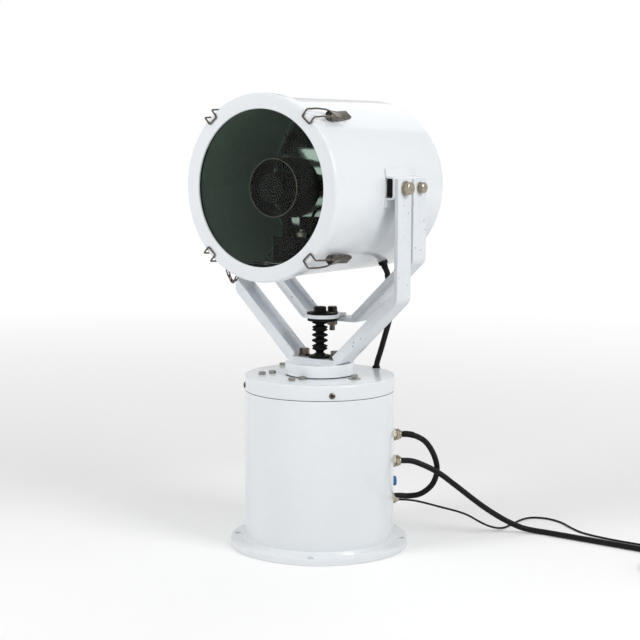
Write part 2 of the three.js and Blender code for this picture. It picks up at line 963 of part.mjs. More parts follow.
function makeYoke() {
  const half = yoke.width / 2;
  const outside = armReach + overrun;
  const drainHeight = yokeBottom + yoke.drainRise;
  const drains = [-1, 1].map((side) => {
    const x = side * yoke.drainX;
    return bar([x, -half - overrun, drainHeight], [x, half + overrun, drainHeight], yoke.drainRadius);
  });
  const bolts = [-1, 1].map((side) =>
    upright(side * yokeBolt.x, 0, yokeBottom - overrun, yokeFloorTop + overrun, yokeBolt.radius + gap),
  );
  return cut(
    bentFrame(yoke, yokeBottom, -half, half),
    bar([-outside, 0, axisHeight], [outside, 0, axisHeight], pivot.radius + runningGap, sides.medium),
    upright(0, 0, yokeBottom - overrun, yokeFloorTop + overrun, turntable.boreRadius, sides.medium),
    bolts,
    drains,
  );
}

function makeYokeBolt(side) {
  const x = side * yokeBolt.x;
  const seat = yokeFloorTop + gap;
  const washerTop = seat + yokeBolt.washerThickness;
  return joined(
    upright(x, 0, seat, washerTop, yokeBolt.washerRadius, sides.medium),
    upright(x, 0, seat, washerTop + yokeBolt.headHeight, hexRadius(yokeBolt.flats), sides.hex),
    upright(x, 0, tableTop - yokeBolt.grip + gap, seat + gap, yokeBolt.radius),
  );
}

function makeSleeveFoot() {
  const bottom = yokeFloorTop + gap;
  const bore = pushRod.radius + runningGap;
  return turned([
    [bore, bottom],
    [sleeveFoot.radius, bottom],
    [sleeveFoot.radius, bottom + sleeveFoot.thickness],
    [sleeveFoot.neckRadius, bottom + sleeveFoot.height],
    [bore, bottom + sleeveFoot.height],
  ], sides.medium);
}

const sleeveBottom = yokeFloorTop + gap + sleeveFoot.height + gap;
const sleeveTop = clampBottom - gap;

function makeSleeve() {
  const rib = (sleeveTop - sleeveBottom) / (sleeve.ribs + 1 / 2);
  const bore = sleeve.waistRadius - sleeve.wall;
  const profile = [[bore, sleeveBottom], [sleeve.waistRadius, sleeveBottom]];
  for (let i = 0; i < sleeve.ribs; i += 1) {
    const waist = sleeveBottom + rib * (i + 1 / 2);
    profile.push([sleeve.waistRadius, waist], [sleeve.ribRadius, waist + rib * sleeve.crestShare]);
  }
  profile.push([sleeve.waistRadius, sleeveTop], [bore, sleeveTop]);
  return turned(profile, sleeve.sides);
}

// Tilt frame pieces

function makeTiltBracket() {
  const pinY = tiltPin.behind;
  const travel = tiltPin.behind * (1 - Math.cos(tiltLimit * degree));
  const reach = tiltPin.radius + slotPlay;
  const outside = armReach + overrun;
  const inside = armReach - tiltBar.thickness - overrun;
  const slots = [-1, 1].flatMap((side) => {
    const [low, high] = [Math.min(side * inside, side * outside), Math.max(side * inside, side * outside)];
    return [
      bar([low, pinY, axisHeight], [high, pinY, axisHeight], reach, sides.medium),
      bar([low, pinY - travel, axisHeight], [high, pinY - travel, axisHeight], reach, sides.medium),
      block([low, pinY - travel, axisHeight - reach], [high, pinY, axisHeight + reach]),
    ];
  });
  const bolt = upright(0, lugBolt.y, tiltBottom - overrun, tiltFloorTop + overrun, lugBolt.radius + gap);
  return cut(bentFrame(tiltBar, tiltBottom, tiltFront, tiltBack), slots, bolt);
}

function makeLugPlate() {
  const half = lug.strapWidth / 2;
  const plate = joined(
    upright(0, lug.y, lugBottom, lugTop, lug.radius, sides.large),
    block([-half, lug.y, lugBottom], [half, lug.strapEnd, lugTop]),
  );
  return cut(
    plate,
    upright(0, 0, lugBottom - overrun, lugTop + overrun, pushRod.radius + gap),
    upright(0, lugBolt.y, lugBottom - overrun, lugTop + overrun, lugBolt.radius + gap),
  );
}

function makePad() {
  const plate = upright(0, lug.y, padBottom, padTop, pad.radius, sides.large);
  const screws = [-1, 1].map((side) =>
    upright(side * pad.screwX, lug.y, padBottom, padTop + pad.screwHeight, pad.screwRadius),
  );
  const washerRoom = lugBolt.washerRadius + runningGap;
  return cut(
    joined(plate, screws),
    upright(0, 0, padBottom - overrun, padTop + overrun, pushRod.radius + gap),
    upright(0, lugBolt.y, padBottom - overrun, padTop + overrun, washerRoom, sides.medium),
  );
}

function makeClamp() {
  const top = lugBottom - gap;
  const plate = upright(0, lug.y, clampBottom, top, clamp.radius, sides.large);
  const [low, high] = [clampBottom - overrun, top + overrun];
  const crosspiece = block([-clamp.radius, tiltFront - gap, low], [clamp.radius, tiltBack, high]);
  return cut(plate, crosspiece, upright(0, 0, low, high, pushRod.collarRadius + gap, sides.medium));
}

function makeLugBolt() {
  const seat = lugTop + gap;
  const washerTop = seat + lugBolt.washerThickness;
  const nutTop = tiltBottom - gap;
  const nutBottom = nutTop - lugBolt.nut;
  return joined(
    upright(0, lugBolt.y, seat, washerTop, lugBolt.washerRadius, sides.medium),
    upright(0, lugBolt.y, seat, washerTop + lugBolt.headHeight, hexRadius(lugBolt.flats), sides.hex),
    upright(0, lugBolt.y, nutBottom - lugBolt.tail, seat + gap, lugBolt.radius),
    upright(0, lugBolt.y, nutBottom, nutTop, hexRadius(lugBolt.flats), sides.hex),
  );
}

function makePushRod() {
  const seat = padTop + gap;
  const washerTop = seat + pushRod.washerThickness;
  const nutTop = washerTop + pushRod.nutHeight;
  const foot = shaftEnd - rodEngagement;
  const collarBottom = clampBottom;
  const collarTop = lugBottom - gap;
  const hole = upright(0, lugBolt.y, seat - gap, nutTop, lugBolt.washerRadius + gap, sides.medium);
  return joined(
    disc(pushRod.radius, foot, nutTop - gap, sides.small),
    disc(pushRod.collarRadius, collarBottom, collarTop, sides.medium),
    cut(disc(pushRod.washerRadius, seat, washerTop, sides.medium), hole),
    upright(0, 0, seat, nutTop, hexRadius(pushRod.flats), sides.hex),
  );
}

// Lamp head pieces, drawn with X to the side, Y up and Z forward from the tilt axis

const glassFront = bezel.face - bezel.plate - gap;
const glassBack = glassFront - glass.thickness;
const sealStep = glassBack - gap;
const sealBack = sealStep - seal.lip;
const drumFront = sealBack - gap;
const drumInner = drum.radius - drum.wall;

function drumProfile() {
  const corner = (radius, back, edge) =>
    Array.from({ length: drum.arcSteps + 1 }, (_, i) => {
      const angle = (i / drum.arcSteps) * quarterTurn * degree;
      return [radius - edge + edge * Math.sin(angle), -back + edge - edge * Math.cos(angle)];
    });
  const outer = corner(drum.radius, drum.back, drum.edge);
  const inner = corner(drumInner, drum.back - drum.wall, drum.edge - drum.wall);
  return [
    [0, -drum.back],
    ...outer,
    [drum.radius, drumFront],
    [drumInner, drumFront],
    ...inner.reverse(),
    [0, drum.wall - drum.back],
  ];
}

const webInner = webOuter - hat.wall;

function makeHat(side) {
  const rootRadius = drum.radius - drum.wall / 2;
  const footX = Math.sqrt(rootRadius ** 2 - hat.footHalf ** 2);
  const innerFoot = hat.footHalf - hat.footWall;
  const innerFootX = Math.sqrt(rootRadius ** 2 - innerFoot ** 2);
  const innerWeb = hat.webHalf - hat.wall / 2;
  const shape = outline([
    [side * footX, hat.footHalf],
    [side * webOuter, hat.webHalf],
    [side * webOuter, -hat.webHalf],
    [side * footX, -hat.footHalf],
    [side * innerFootX, -innerFoot],
    [side * webInner, -innerWeb],
    [side * webInner, innerWeb],
    [side * innerFootX, innerFoot],
  ]);
  const [low, high] = side > 0 ? [webInner, webOuter] : [-webOuter, -webInner];
  const hole = (forward, radius) => {
    return bar([low - overrun, 0, forward], [high + overrun, 0, forward], radius + gap);
  };
  const channel = prismAlongZ(shape, -hat.back, hat.front);
  return cut(channel, hole(0, pivot.radius), hole(-tiltPin.behind, tiltPin.radius));
}

// In a latch's own frame X points out from the lamp's axis, Y along the rim and Z forward
function makeLatchLug() {
  const root = drum.radius - drum.wall / 2;
  const { pivotRadius, pivotForward, lugRadius, lugHalf } = latch;
  const low = [root, -lugHalf, pivotForward - lugRadius];
  const [oneSide, otherSide] = [-lugHalf, lugHalf].map((y) => [pivotRadius, y, pivotForward]);
  const lugSolid = joined(
    bar(oneSide, otherSide, lugRadius, sides.medium),
    block(low, [pivotRadius, lugHalf, pivotForward + lugRadius]),
  );
  const reach = lugHalf + overrun;
  const pinHole = bar(
    [pivotRadius, -reach, pivotForward],
    [pivotRadius, reach, pivotForward],
    latch.pinRadius + gap,
  );
  return cut(lugSolid, pinHole);
}

const drumGlandEnd = drum.radius + drumGland.hexLength + drumGland.tipLength;

function makeDrumGland() {
  const at = (radius) => onCircle(radius, drumGland.angle, -drumGland.behind);
  const hexEnd = drum.radius + drumGland.hexLength;
  return joined(
    bar(at(drum.radius - drum.wall / 2), at(hexEnd), hexRadius(drumGland.flats), sides.hex),
    bar(at(hexEnd - gap), at(drumGlandEnd), drumGland.tipRadius, sides.medium),
  );
}

function makeDrum() {
  const lugs = latch.angles.map((angle) => makeLatchLug().rotate([0, 0, angle]));
  return joined(turned(drumProfile()), makeHat(1), makeHat(-1), lugs, makeDrumGland());
}

function makeBezel() {
  const back = bezel.face - bezel.plate;
  const skirtEnd = back - bezel.skirtLength + bezel.plate;
  return turned([
    [bezel.opening, back],
    [bezel.opening, bezel.face],
    [bezel.radius - bezel.edge, bezel.face],
    [bezel.radius, bezel.face - bezel.edge],
    [bezel.radius, skirtEnd],
    [bezel.radius - bezel.skirtWall, skirtEnd],
    [bezel.radius - bezel.skirtWall, back],
  ]);
}

function makeSeal() {
  const outer = bezel.radius - bezel.skirtWall - gap;
  const step = glass.radius + gap;
  return turned([
    [seal.lipRadius, sealBack],
    [outer, sealBack],
    [outer, glassFront],
    [step, glassFront],
    [step, sealStep],
    [seal.lipRadius, sealStep],
  ]);
}

function makeReflector() {
  const depthAt = (radius) => reflector.vertex + radius ** 2 / (4 * reflector.focus);
  const bowl = Array.from({ length: reflector.rings + 1 }, (_, i) => {
    const spread = reflector.rimRadius - reflector.boreRadius;
    const radius = reflector.boreRadius + (i / reflector.rings) * spread;
    return [radius, depthAt(radius)];
  });
  const shell = bowl.map(([radius, depth]) => [radius, depth - reflector.wall]);
  const rimFront = depthAt(reflector.rimRadius);
  const outer = drumInner - gap;
  const rimBack = rimFront - reflector.rimThickness;
  return turned([
    ...bowl,
    [outer, rimFront],
    [outer, rimBack],
    [reflector.rimRadius, rimBack],
    ...shell.reverse().slice(1),
  ]);
}

const bulbCentre = reflector.vertex + reflector.focus;

function makeBulb() {
  const rearCapEnd = bulb.rearEnd + bulb.rearCap;
  const shoulder = bulb.radius * bulb.shoulderShare;
  const half = bulb.halfLength;
  const capFront = holder.front - holder.length + bulbCap.seat - gap;
  const capBack = capFront - bulbCap.length;
  return turned([
    [0, bulb.rearEnd],
    [bulb.rearRadius, bulb.rearEnd],
    [bulb.rearRadius, rearCapEnd],
    [bulb.stemRadius, rearCapEnd],
    [bulb.stemRadius, bulbCentre - half],
    [shoulder, bulbCentre - half * bulb.shoulderShare],
    [bulb.radius, bulbCentre],
    [shoulder, bulbCentre + half * bulb.shoulderShare],
    [bulb.stemRadius, bulbCentre + half],
    [bulb.stemRadius, capBack],
    [bulb.capRadius, capBack],
    [bulb.capRadius, capFront],
    [0, capFront],
  ], sides.medium);
}

function makeHolder() {
  const back = holder.front - holder.length;
  const neck = holder.radius * holder.neckShare;
  const cap = turned([
    [0, holder.front],
    [holder.radius, holder.front],
    [holder.radius, back + bulbCap.seat],
    [neck, back],
    [bulb.capRadius + gap, back],
    [bulb.capRadius + gap, back + bulbCap.seat],
    [0, back + bulbCap.seat],
  ], sides.medium);
  const half = holder.postWidth / 2;
  const low = [-half, igniter.top + gap, holder.postCentre - half];
  return joined(cap, block(low, [half, -holder.radius * holder.neckShare, holder.postCentre + half]));
}

function makeShield() {
  const hubInner = holder.radius + gap;
  const hubOuter = hubInner + shield.hubWall;
  const outerRing = ring(shield.radius, shield.radius - shield.wall, shield.back, shield.front);
  const hub = ring(hubOuter, hubInner, shield.hubBack, shield.hubFront, sides.medium);
  const half = spoke.thickness / 2;
  const arm = block([hubOuter - gap, -half, spoke.back], [shield.radius - gap, half, spoke.front]);
  const spokes = Array.from({ length: shield.spokes }, (_, i) =>
    arm.rotate([0, 0, quarterTurn + (i * 360) / shield.spokes]),
  );
  const postHalf = holder.postWidth / 2 + runningGap;
  const postSlot = block(
    [-postHalf, -shield.radius - overrun, shield.back - overrun],
    [postHalf, shield.wall - shield.radius + overrun, holder.postCentre + postHalf],
  );
  return cut(joined(outerRing, hub, spokes), postSlot);
}

function makeIgniter() {
  const { halfWidth, top, bottom, back, front, foot, screwRadius } = igniter;
  const floor = tray.top + gap;
  const feet = [-1, 1].flatMap((side) =>
    [back, front - foot].map((start) => {
      const [low, high] = side > 0 ? [halfWidth - foot, halfWidth] : [-halfWidth, foot - halfWidth];
      return block([low, floor, start], [high, bottom, start + foot]);
    }),
  );
  const screwHeight = top - foot;
  const screw = bar([0, screwHeight, front - gap], [0, screwHeight, front + screwRadius / 2], screwRadius);
  return joined(block([-halfWidth, bottom, back], [halfWidth, top, front]), feet, screw);
}

function makeJunction() {
  const { lowerHalf, upperHalf, step, top, back, front, setback } = junction;
  return joined(
    block([-lowerHalf, tray.top + gap, back], [lowerHalf, step, front]),
    block([-upperHalf, step - gap, back + setback], [upperHalf, top, front - setback]),
  );
}

function makeTray() {
  const bottom = tray.top - tray.thickness;
  const edge = (height) => Math.sqrt((insideFacets(drumInner) - gap) ** 2 - height ** 2);
  const shape = outline([
    [-edge(bottom), bottom],
    [edge(bottom), bottom],
    [edge(tray.top), tray.top],
    [-edge(tray.top), tray.top],
  ]);
  return prismAlongZ(shape, tray.back, tray.front);
}

// A bolt along X through the frame's upright and the drum's hat bracket, with a nut behind the web
function makeSideBolt(side, bolt, forward) {
  const seat = armReach + gap;
  const washerEnd = seat + bolt.washerThickness;
  const nutEnd = webInner - gap;
  const along = (near, far, radius, count) =>
    bar([side * near, 0, forward], [side * far, 0, forward], radius, count);
  return joined(
    along(nutEnd - bolt.nut - gap, seat + gap, bolt.radius, sides.small),
    along(seat, washerEnd, bolt.washerRadius, sides.medium),
    along(seat, washerEnd + bolt.headHeight, hexRadius(bolt.flats), sides.hex),
    along(nutEnd - bolt.nut, nutEnd, hexRadius(bolt.flats), sides.hex),
  );
}

function makeLever() {
  const { pivotRadius, pivotForward, channelHalf, bottom, roof, top, tail, nose, roofEnd } = latch;
  const half = bail.halfWidth - bail.wireRadius - gap;
  const front = pivotForward + nose;
  const body = outline([
    [bottom, tail],
    [top, tail],
    [top, pivotForward + roofEnd],
    [roof, pivotForward + nose],
    [bottom, front],
  ]);
  const channelLow = [bottom - overrun, -channelHalf, tail - overrun];
  const channel = block(channelLow, [roof, channelHalf, front + overrun]);
  const noseCut = block(
    [roof - gap, -channelHalf, pivotForward + roofEnd],
    [top + overrun, channelHalf, front + overrun],
  );
  const acrossRod = (radius, forward, reach, rodRadius) =>
    bar([radius, -reach, forward], [radius, reach, forward], rodRadius, sides.wire);
  const bailHole = acrossRod(bail.pivotRadius, bail.pivotForward, half + overrun, bail.wireRadius + gap);
  const pin = acrossRod(pivotRadius, pivotForward, half, latch.pinRadius);
  return joined(cut(prismAlongY(body, -half, half), channel, noseCut, bailHole), pin);
}

function makeBail() {
  const { wireRadius, halfWidth, pivotRadius, pivotForward, barRadius, tip } = bail;
  const front = bezel.face + gap + wireRadius;
  const halfPath = [
    [pivotRadius, tip, pivotForward],
    [pivotRadius, halfWidth, pivotForward],
    [pivotRadius, halfWidth, front],
    [barRadius, halfWidth, front],
  ];
  const mirrored = halfPath.map(([x, y, z]) => [x, -y, z]).reverse();
  return bentRod([...halfPath, ...mirrored], wireRadius, sides.fine);
}

function chainLink(from, to, flat) {
  const [start, end] = [new THREE.Vector3(...from), new THREE.Vector3(...to)];
  const run = end.clone().sub(start).normalize();
  const forward = new THREE.Vector3(0, 0, 1);
  const across = flat ? forward : run.clone().cross(forward).normalize();
  const half = chain.halfWidth;
  const at = (along, sideways, near) => {
    return near.clone().addScaledVector(run, along).addScaledVector(across, sideways).toArray();
  };
  const loop = [
    at(0, -half / 2, start), at(0, half / 2, start), at(half / 2, half, start), at(-half / 2, half, end),
    at(0, half / 2, end), at(0, -half / 2, end), at(-half / 2, -half, end), at(half / 2, -half, start),
  ];
  return bentRod(loop, chain.wireRadius, sides.fine, true);
}

function makeChain() {
  const hangRadius = bezel.radius + chain.rimRise;
  const first = onCircle(hangRadius, chain.firstAngle, chain.forward);
  const last = onCircle(hangRadius, chain.lastAngle, chain.forward);
  const points = Array.from({ length: chain.links + 1 }, (_, i) => {
    const share = i / chain.links;
    const sag = hangRadius * chain.sagShare * 4 * share * (1 - share);
    const across = first[0] + share * (last[0] - first[0]);
    const height = first[1] + share * (last[1] - first[1]) - sag;
    return [across, height, chain.forward];
  });
  const links = points.slice(1).map((point, i) => chainLink(points[i], point, i % 2 === 0));
  const tab = (angle) => {
    const low = [bezel.radius + gap, -chain.tabHalf, chain.forward - chain.wireRadius];
    const high = [hangRadius + chain.wireRadius, chain.tabHalf, chain.forward + chain.wireRadius];
    return block(low, high).rotate([0, 0, angle]);
  };
  return joined(links, tab(chain.firstAngle), tab(chain.lastAngle));
}

// Cords

function fromWall([x, y, height]) {
  return [wallX + x, wallY + y, height];
}

// Two layers: the first spirals in, the climb turns it back, the second spirals out, and the tail
// comes down beside the coil to the height of what it ends in.
function coilPath(coil, radius, endHeight, stepsPerTurn) {
  const floor = radius + cord.rest;
  const wound = 2 * coil.turns + coilClimb;
  const total = wound + coil.tailTurn;
  const steps = Math.round(total * stepsPerTurn);
  return Array.from({ length: steps + 1 }, (_, i) => {
    const turn = (i / steps) * total;
    const middle = coil.turns + coilClimb / 2;
    const inward = middle - Math.abs(Math.min(turn, wound) - middle);
    const tail = Math.max(0, turn - wound) / coil.tailTurn;
    const spread = coil.tailSpread * Math.sin((tail * Math.PI) / 2);
    const reach = coil.outerRadius - coil.pitch * inward + spread;
    const rise = Math.min(1, Math.max(0, (turn - coil.turns) / coilClimb));
    const drop = (1 - Math.cos(tail * Math.PI)) / 2;
    const upper = floor + coil.layer * rise;
    const angle = coil.startAngle + coil.turning * turn * 360;
    const [x, y] = onCircle(reach, angle, 0);
    return fromWall([coil.x + x, coil.y + y, upper + (endHeight - upper) * drop]);
  });
}

function stretched(path, length) {
  const point = (i) => new THREE.Vector3(...path.at(i));
  const before = point(0).addScaledVector(point(0).sub(point(1)).setZ(0).normalize(), length);
  const after = point(-1).addScaledVector(point(-1).sub(point(-2)).setZ(0).normalize(), length);
  return [before.toArray(), ...path, after.toArray()];
}

function pathLength(path) {
  const points = path.map((point) => new THREE.Vector3(...point));
  return points.slice(1).reduce((sum, point, i) => sum + point.distanceTo(points[i]), 0);
}

// Points closer than this along the path, in cord radii, are neighbours and aren't compared
const neighbourReach = 6;

function leastSelfGap(path, radius) {
  const points = path.map((point) => new THREE.Vector3(...point));
  const distances = [0];
  points.slice(1).forEach((point, i) => distances.push(distances[i] + point.distanceTo(points[i])));
  let least = Infinity;
  points.forEach((point, i) => {
    for (let k = 0; k < i; k += 1) {
      if (distances[i] - distances[k] < neighbourReach * radius) break;
      least = Math.min(least, point.distanceTo(points[k]));
    }
  });
  return least - 2 * radius;
}

function woundPath(coil, radius, endHeight) {
  return stretched(coilPath(coil, radius, endHeight, coilSteps), 2 * radius);
}

function makeCoil(coil, radius, endHeight) {
  return bentRod(woundPath(coil, radius, endHeight), radius, coilSides);
}

const plugHeight = plug.radius + cord.rest;
const lugHeight = earthLug.barrelRadius + cord.rest;
const powerCoilPath = woundPath(powerCoil, cord.thickRadius, plugHeight);
const earthCoilPath = woundPath(earthCoil, cord.thinRadius, lugHeight);

// The cord's last two points before its coil, in line with the coil's straight start
function intoCoil(path, radius) {
  const start = new THREE.Vector3(...path[0]);
  const back = start.clone().sub(new THREE.Vector3(...path[1])).normalize();
  return [gap + 2 * radius, gap].map((out) => start.clone().addScaledVector(back, out).toArray());
}

// Where a cord meets its fitting, and one cord's width farther out, so that it leaves square
function fittingEnd(end, place, radius) {
  return [0, 2 * radius].map((out) => onCircle(end + gap + out, place.angle, place.height));
}

const controlPath = [
  ...fittingEnd(glandEnd, glandPlaces.control_gland, cord.thickRadius),
  ...controlRoute.map(fromWall),
  ...fittingEnd(glandEnd, glandPlaces.return_gland, cord.thickRadius).reverse(),
];
const powerPath = [
  ...fittingEnd(glandEnd, glandPlaces.power_gland, cord.thickRadius),
  ...powerRoute.map(fromWall),
  ...intoCoil(powerCoilPath, cord.thickRadius),
];
const earthPath = [
  ...fittingEnd(leadEnd, leadFitting, cord.thinRadius),
  ...earthRoute.map(fromWall),
  ...intoCoil(earthCoilPath, cord.thinRadius),
];

function lampCableTop(reach) {
  const [x, height] = onCircle(reach, drumGland.angle, 0);
  return [x, drumGland.behind, axisHeight + height];
}

function aboveLid([x, y, height]) {
  return [x, y, lidTop + height];
}

// The two lamp cables meet square at one point, each straight there for one cable's width
function lampMeeting(offsets) {
  const middle = new THREE.Vector3(...aboveLid(lampJoint));
  const upward = new THREE.Vector3(...aboveLid(lampRouteUpper.at(-1))).sub(middle).normalize();
  return offsets.map((offset) => middle.clone().addScaledVector(upward, offset).toArray());
}

function makeLampCableUpper() {
  const top = [drumGlandEnd + gap, drumGlandEnd + gap + 2 * cord.lampRadius].map(lampCableTop);
  const end = lampMeeting([2 * cord.lampRadius, 0]);
  return cordTube([...top, ...lampRouteUpper.map(aboveLid), ...end], cord.lampRadius, cord.thickSides);
}

function makeLampCableLower() {
  const start = lampMeeting([-gap, -gap - 2 * cord.lampRadius]);
  const footHeight = lidTop + cableFoot.collarHeight + gap;
  const foot = [2 * cord.lampRadius, 0].map((rise) => [footX, footY, footHeight + rise]);
  return cordTube([...start, ...lampRouteLower.map(aboveLid), ...foot], cord.lampRadius, cord.thickSides);
}

// A piece drawn along +X from the cord's end, turned to the way that the cord leaves
function atCordEnd(name, solid, path, finish) {
  const [end, before] = [path.at(-1), path.at(-2)];
  const angle = Math.atan2(end[1] - before[1], end[0] - before[0]);
  const mesh = meshOf(name, solid, finish);
  mesh.position.set(end[0] + gap * Math.cos(angle), end[1] + gap * Math.sin(angle), end[2]);
  mesh.rotation.z = angle;
  return mesh;
}

function makePlug() {
  const whole = plug.nutLength + plug.length;
  return cut(
    joined(
      bar([0, 0, 0], [plug.nutLength, 0, 0], plug.nutRadius, sides.small),
      bar([plug.nutLength - gap, 0, 0], [whole, 0, 0], plug.radius, sides.medium),
    ),
    bar([whole - plug.boreDepth, 0, 0], [whole + overrun, 0, 0], plug.boreRadius, sides.small),
  );
}

function makeEarthLug() {
  const floor = -earthLug.barrelRadius;
  const end = earthLug.barrelLength + earthLug.length;
  const half = earthLug.width / 2;
  const blade = block([earthLug.barrelLength / 2, -half, floor], [end, half, floor + earthLug.thickness]);
  const holeX = end - half;
  const holeTop = floor + earthLug.thickness + overrun;
  return joined(
    bar([0, 0, 0], [earthLug.barrelLength, 0, 0], earthLug.barrelRadius),
    cut(blade, upright(holeX, 0, floor - overrun, holeTop, earthLug.holeRadius)),
  );
}

// The whole lamp

const { whitePaint, blackPaint, blackRubber, bluePlastic, tintedGlass, quartz } = finishes;
const { steel, darkSteel, brass, aluminium } = finishes;

function pedestalGroup() {
  const group = new THREE.Group();
  const pieces = [
    meshOf('base_flange', makeFlange(), whitePaint),
    meshOf('base_body', makePedestal(), whitePaint),
    meshOf('base_lid', makeLid(), whitePaint),
    meshOf('drive_bracket', makeBracket(), steel),
    meshOf('pan_motor', makeMotor(), blackPaint),
    meshOf('motor_pulley', makeMotorPulley(), aluminium),
    meshOf('drive_belt', makeBelt(), blackRubber),
    meshOf('main_bearing', makeBearing(), steel),
    onWall('port_plug', makePortPlug(), portPlug, bluePlastic),
    onWall('lead_fitting', makeLeadFitting(), leadFitting, brass),
  ];
  const glands = Object.entries(glandPlaces).map(([name, place]) => onWall(name, makeGland(), place, brass));
  group.add(...pieces, ...glands);
  return group;
}

function turningGroup() {
  const group = new THREE.Group();
  group.add(
    meshOf('turntable', makeTurntable(), whitePaint),
    meshOf('shaft_pulley', makeShaftPulley(), aluminium),
    meshOf('tilt_actuator', makeActuator(), steel),
    meshOf('yoke', makeYoke(), whitePaint),
    meshOf('yoke_bolt_left', makeYokeBolt(-1), brass),
    meshOf('yoke_bolt_right', makeYokeBolt(1), brass),
    meshOf('bellows_flange', makeSleeveFoot(), blackRubber),
    meshOf('bellows', makeSleeve(), blackRubber),
  );
  return group;
}

function tiltFrameGroup() {
  const group = new THREE.Group();
  group.add(
    meshOf('tilt_bracket', makeTiltBracket(), whitePaint),
    meshOf('lug_plate', makeLugPlate(), whitePaint),
    meshOf('lug_pad', makePad(), blackRubber),
    meshOf('bellows_clamp', makeClamp(), blackPaint),
    meshOf('lug_bolt', makeLugBolt(), brass),
    meshOf('push_rod', makePushRod(), steel),
  );
  return group;
}

function latchGroup(angle, number) {
  const group = new THREE.Group();
  group.rotation.z = angle * degree;
  group.add(
    meshOf(`latch_lever_${number}`, makeLever(), darkSteel),
    meshOf(`latch_bail_${number}`, makeBail(), darkSteel),
  );
  return group;
}

function lampHeadGroup() {
  const group = new THREE.Group();
  group.add(
    meshOf('drum_shell', makeDrum(), whitePaint),
    meshOf('front_bezel', makeBezel(), whitePaint),
    meshOf('front_glass', disc(glass.radius, glassBack, glassFront), tintedGlass),
    meshOf('glass_seal', makeSeal(), blackRubber),
    meshOf('reflector', makeReflector(), aluminium),
    meshOf('xenon_lamp', makeBulb(), quartz),
    meshOf('lamp_holder', makeHolder(), aluminium),
    meshOf('glare_shield', makeShield(), blackPaint),
    meshOf('igniter_box', makeIgniter(), blackPaint),
    meshOf('junction_box', makeJunction(), blackPaint),
    meshOf('lamp_tray', makeTray(), steel),
    meshOf('pivot_bolt_left', makeSideBolt(-1, pivot, 0), brass),
    meshOf('pivot_bolt_right', makeSideBolt(1, pivot, 0), brass),
    meshOf('tilt_bolt_left', makeSideBolt(-1, tiltPin, -tiltPin.behind), brass),
    meshOf('tilt_bolt_right', makeSideBolt(1, tiltPin, -tiltPin.behind), brass),
    meshOf('safety_chain', makeChain(), steel),
    ...latch.angles.map((angle, i) => latchGroup(angle, i + 1)),
  );
  group.rotation.x = quarterTurn * degree;
  group.position.z = axisHeight;
  return group;
}

function cordGroup() {
  const group = new THREE.Group();
  group.add(
    meshOf('control_cable', cordTube(controlPath, cord.thickRadius, cord.thickSides), blackRubber),
    meshOf('power_cable', cordTube(powerPath, cord.thickRadius, cord.thickSides), blackRubber),
    meshOf('power_coil', makeCoil(powerCoil, cord.thickRadius, plugHeight), blackRubber),
    meshOf('earth_lead', cordTube(earthPath, cord.thinRadius, cord.thinSides), blackRubber),
    meshOf('earth_coil', makeCoil(earthCoil, cord.thinRadius, lugHeight), blackRubber),
    meshOf('lamp_cable_upper', makeLampCableUpper(), blackRubber),
    meshOf('lamp_cable_lower', makeLampCableLower(), blackRubber),
    atCordEnd('power_plug', makePlug(), powerCoilPath, blackPaint),
    atCordEnd('earth_lug', makeEarthLug(), earthCoilPath, brass),
  );
  return group;
}

const fineSteps = coilSteps * fineShare;
function reportCoil(name, coil, radius, endHeight) {
  const least = leastSelfGap(coilPath(coil, radius, endHeight, fineSteps), radius);
  console.log(`${name} coil: least gap to itself ${least.toFixed(2)} mm`);
}

reportCoil('power', powerCoil, cord.thickRadius, plugHeight);
reportCoil('earth', earthCoil, cord.thinRadius, lugHeight);
console.log(`control cable ${routeLength(controlPath).toFixed(0)} mm`);
console.log(`power cable ${(routeLength(powerPath) + pathLength(powerCoilPath)).toFixed(0)} mm`);
console.log(`earth lead ${(routeLength(earthPath) + pathLength(earthCoilPath)).toFixed(0)} mm`);

const searchlight = new THREE.Group();
searchlight.add(pedestalGroup(), turningGroup(), tiltFrameGroup(), lampHeadGroup(), cordGroup());

export default searchlight;
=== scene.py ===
import bpy
import json
import math
from mathutils import Matrix, Vector


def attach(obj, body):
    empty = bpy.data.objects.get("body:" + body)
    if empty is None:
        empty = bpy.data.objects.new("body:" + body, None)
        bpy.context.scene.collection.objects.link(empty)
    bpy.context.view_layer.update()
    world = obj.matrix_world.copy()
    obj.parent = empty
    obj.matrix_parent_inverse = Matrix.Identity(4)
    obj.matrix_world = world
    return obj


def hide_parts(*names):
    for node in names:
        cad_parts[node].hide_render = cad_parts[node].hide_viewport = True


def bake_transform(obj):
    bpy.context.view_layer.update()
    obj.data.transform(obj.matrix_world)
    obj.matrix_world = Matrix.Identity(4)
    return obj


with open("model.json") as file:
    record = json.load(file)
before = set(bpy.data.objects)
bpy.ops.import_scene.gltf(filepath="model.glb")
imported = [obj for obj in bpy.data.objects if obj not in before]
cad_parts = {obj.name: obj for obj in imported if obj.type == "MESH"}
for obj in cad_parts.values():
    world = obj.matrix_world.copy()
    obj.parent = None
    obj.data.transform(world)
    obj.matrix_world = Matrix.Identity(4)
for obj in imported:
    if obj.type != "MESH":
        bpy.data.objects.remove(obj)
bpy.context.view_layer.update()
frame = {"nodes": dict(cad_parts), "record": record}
nodes = frame["nodes"]
scene = bpy.context.scene
scene.view_settings.view_transform = "Standard"
print("frame loaded:", len(nodes), "nodes")

# Camera, at the height and side that the lamp is seen from
view = {
    "place": (1.8134, -2.5087, 0.8584),
    "right": (0.8101, 0.5862, 0.0042),
    "up": (-0.0743, 0.0956, 0.9926),
    "lens": 82.72,
    "sensor": 36,
    "reach": 60,
}


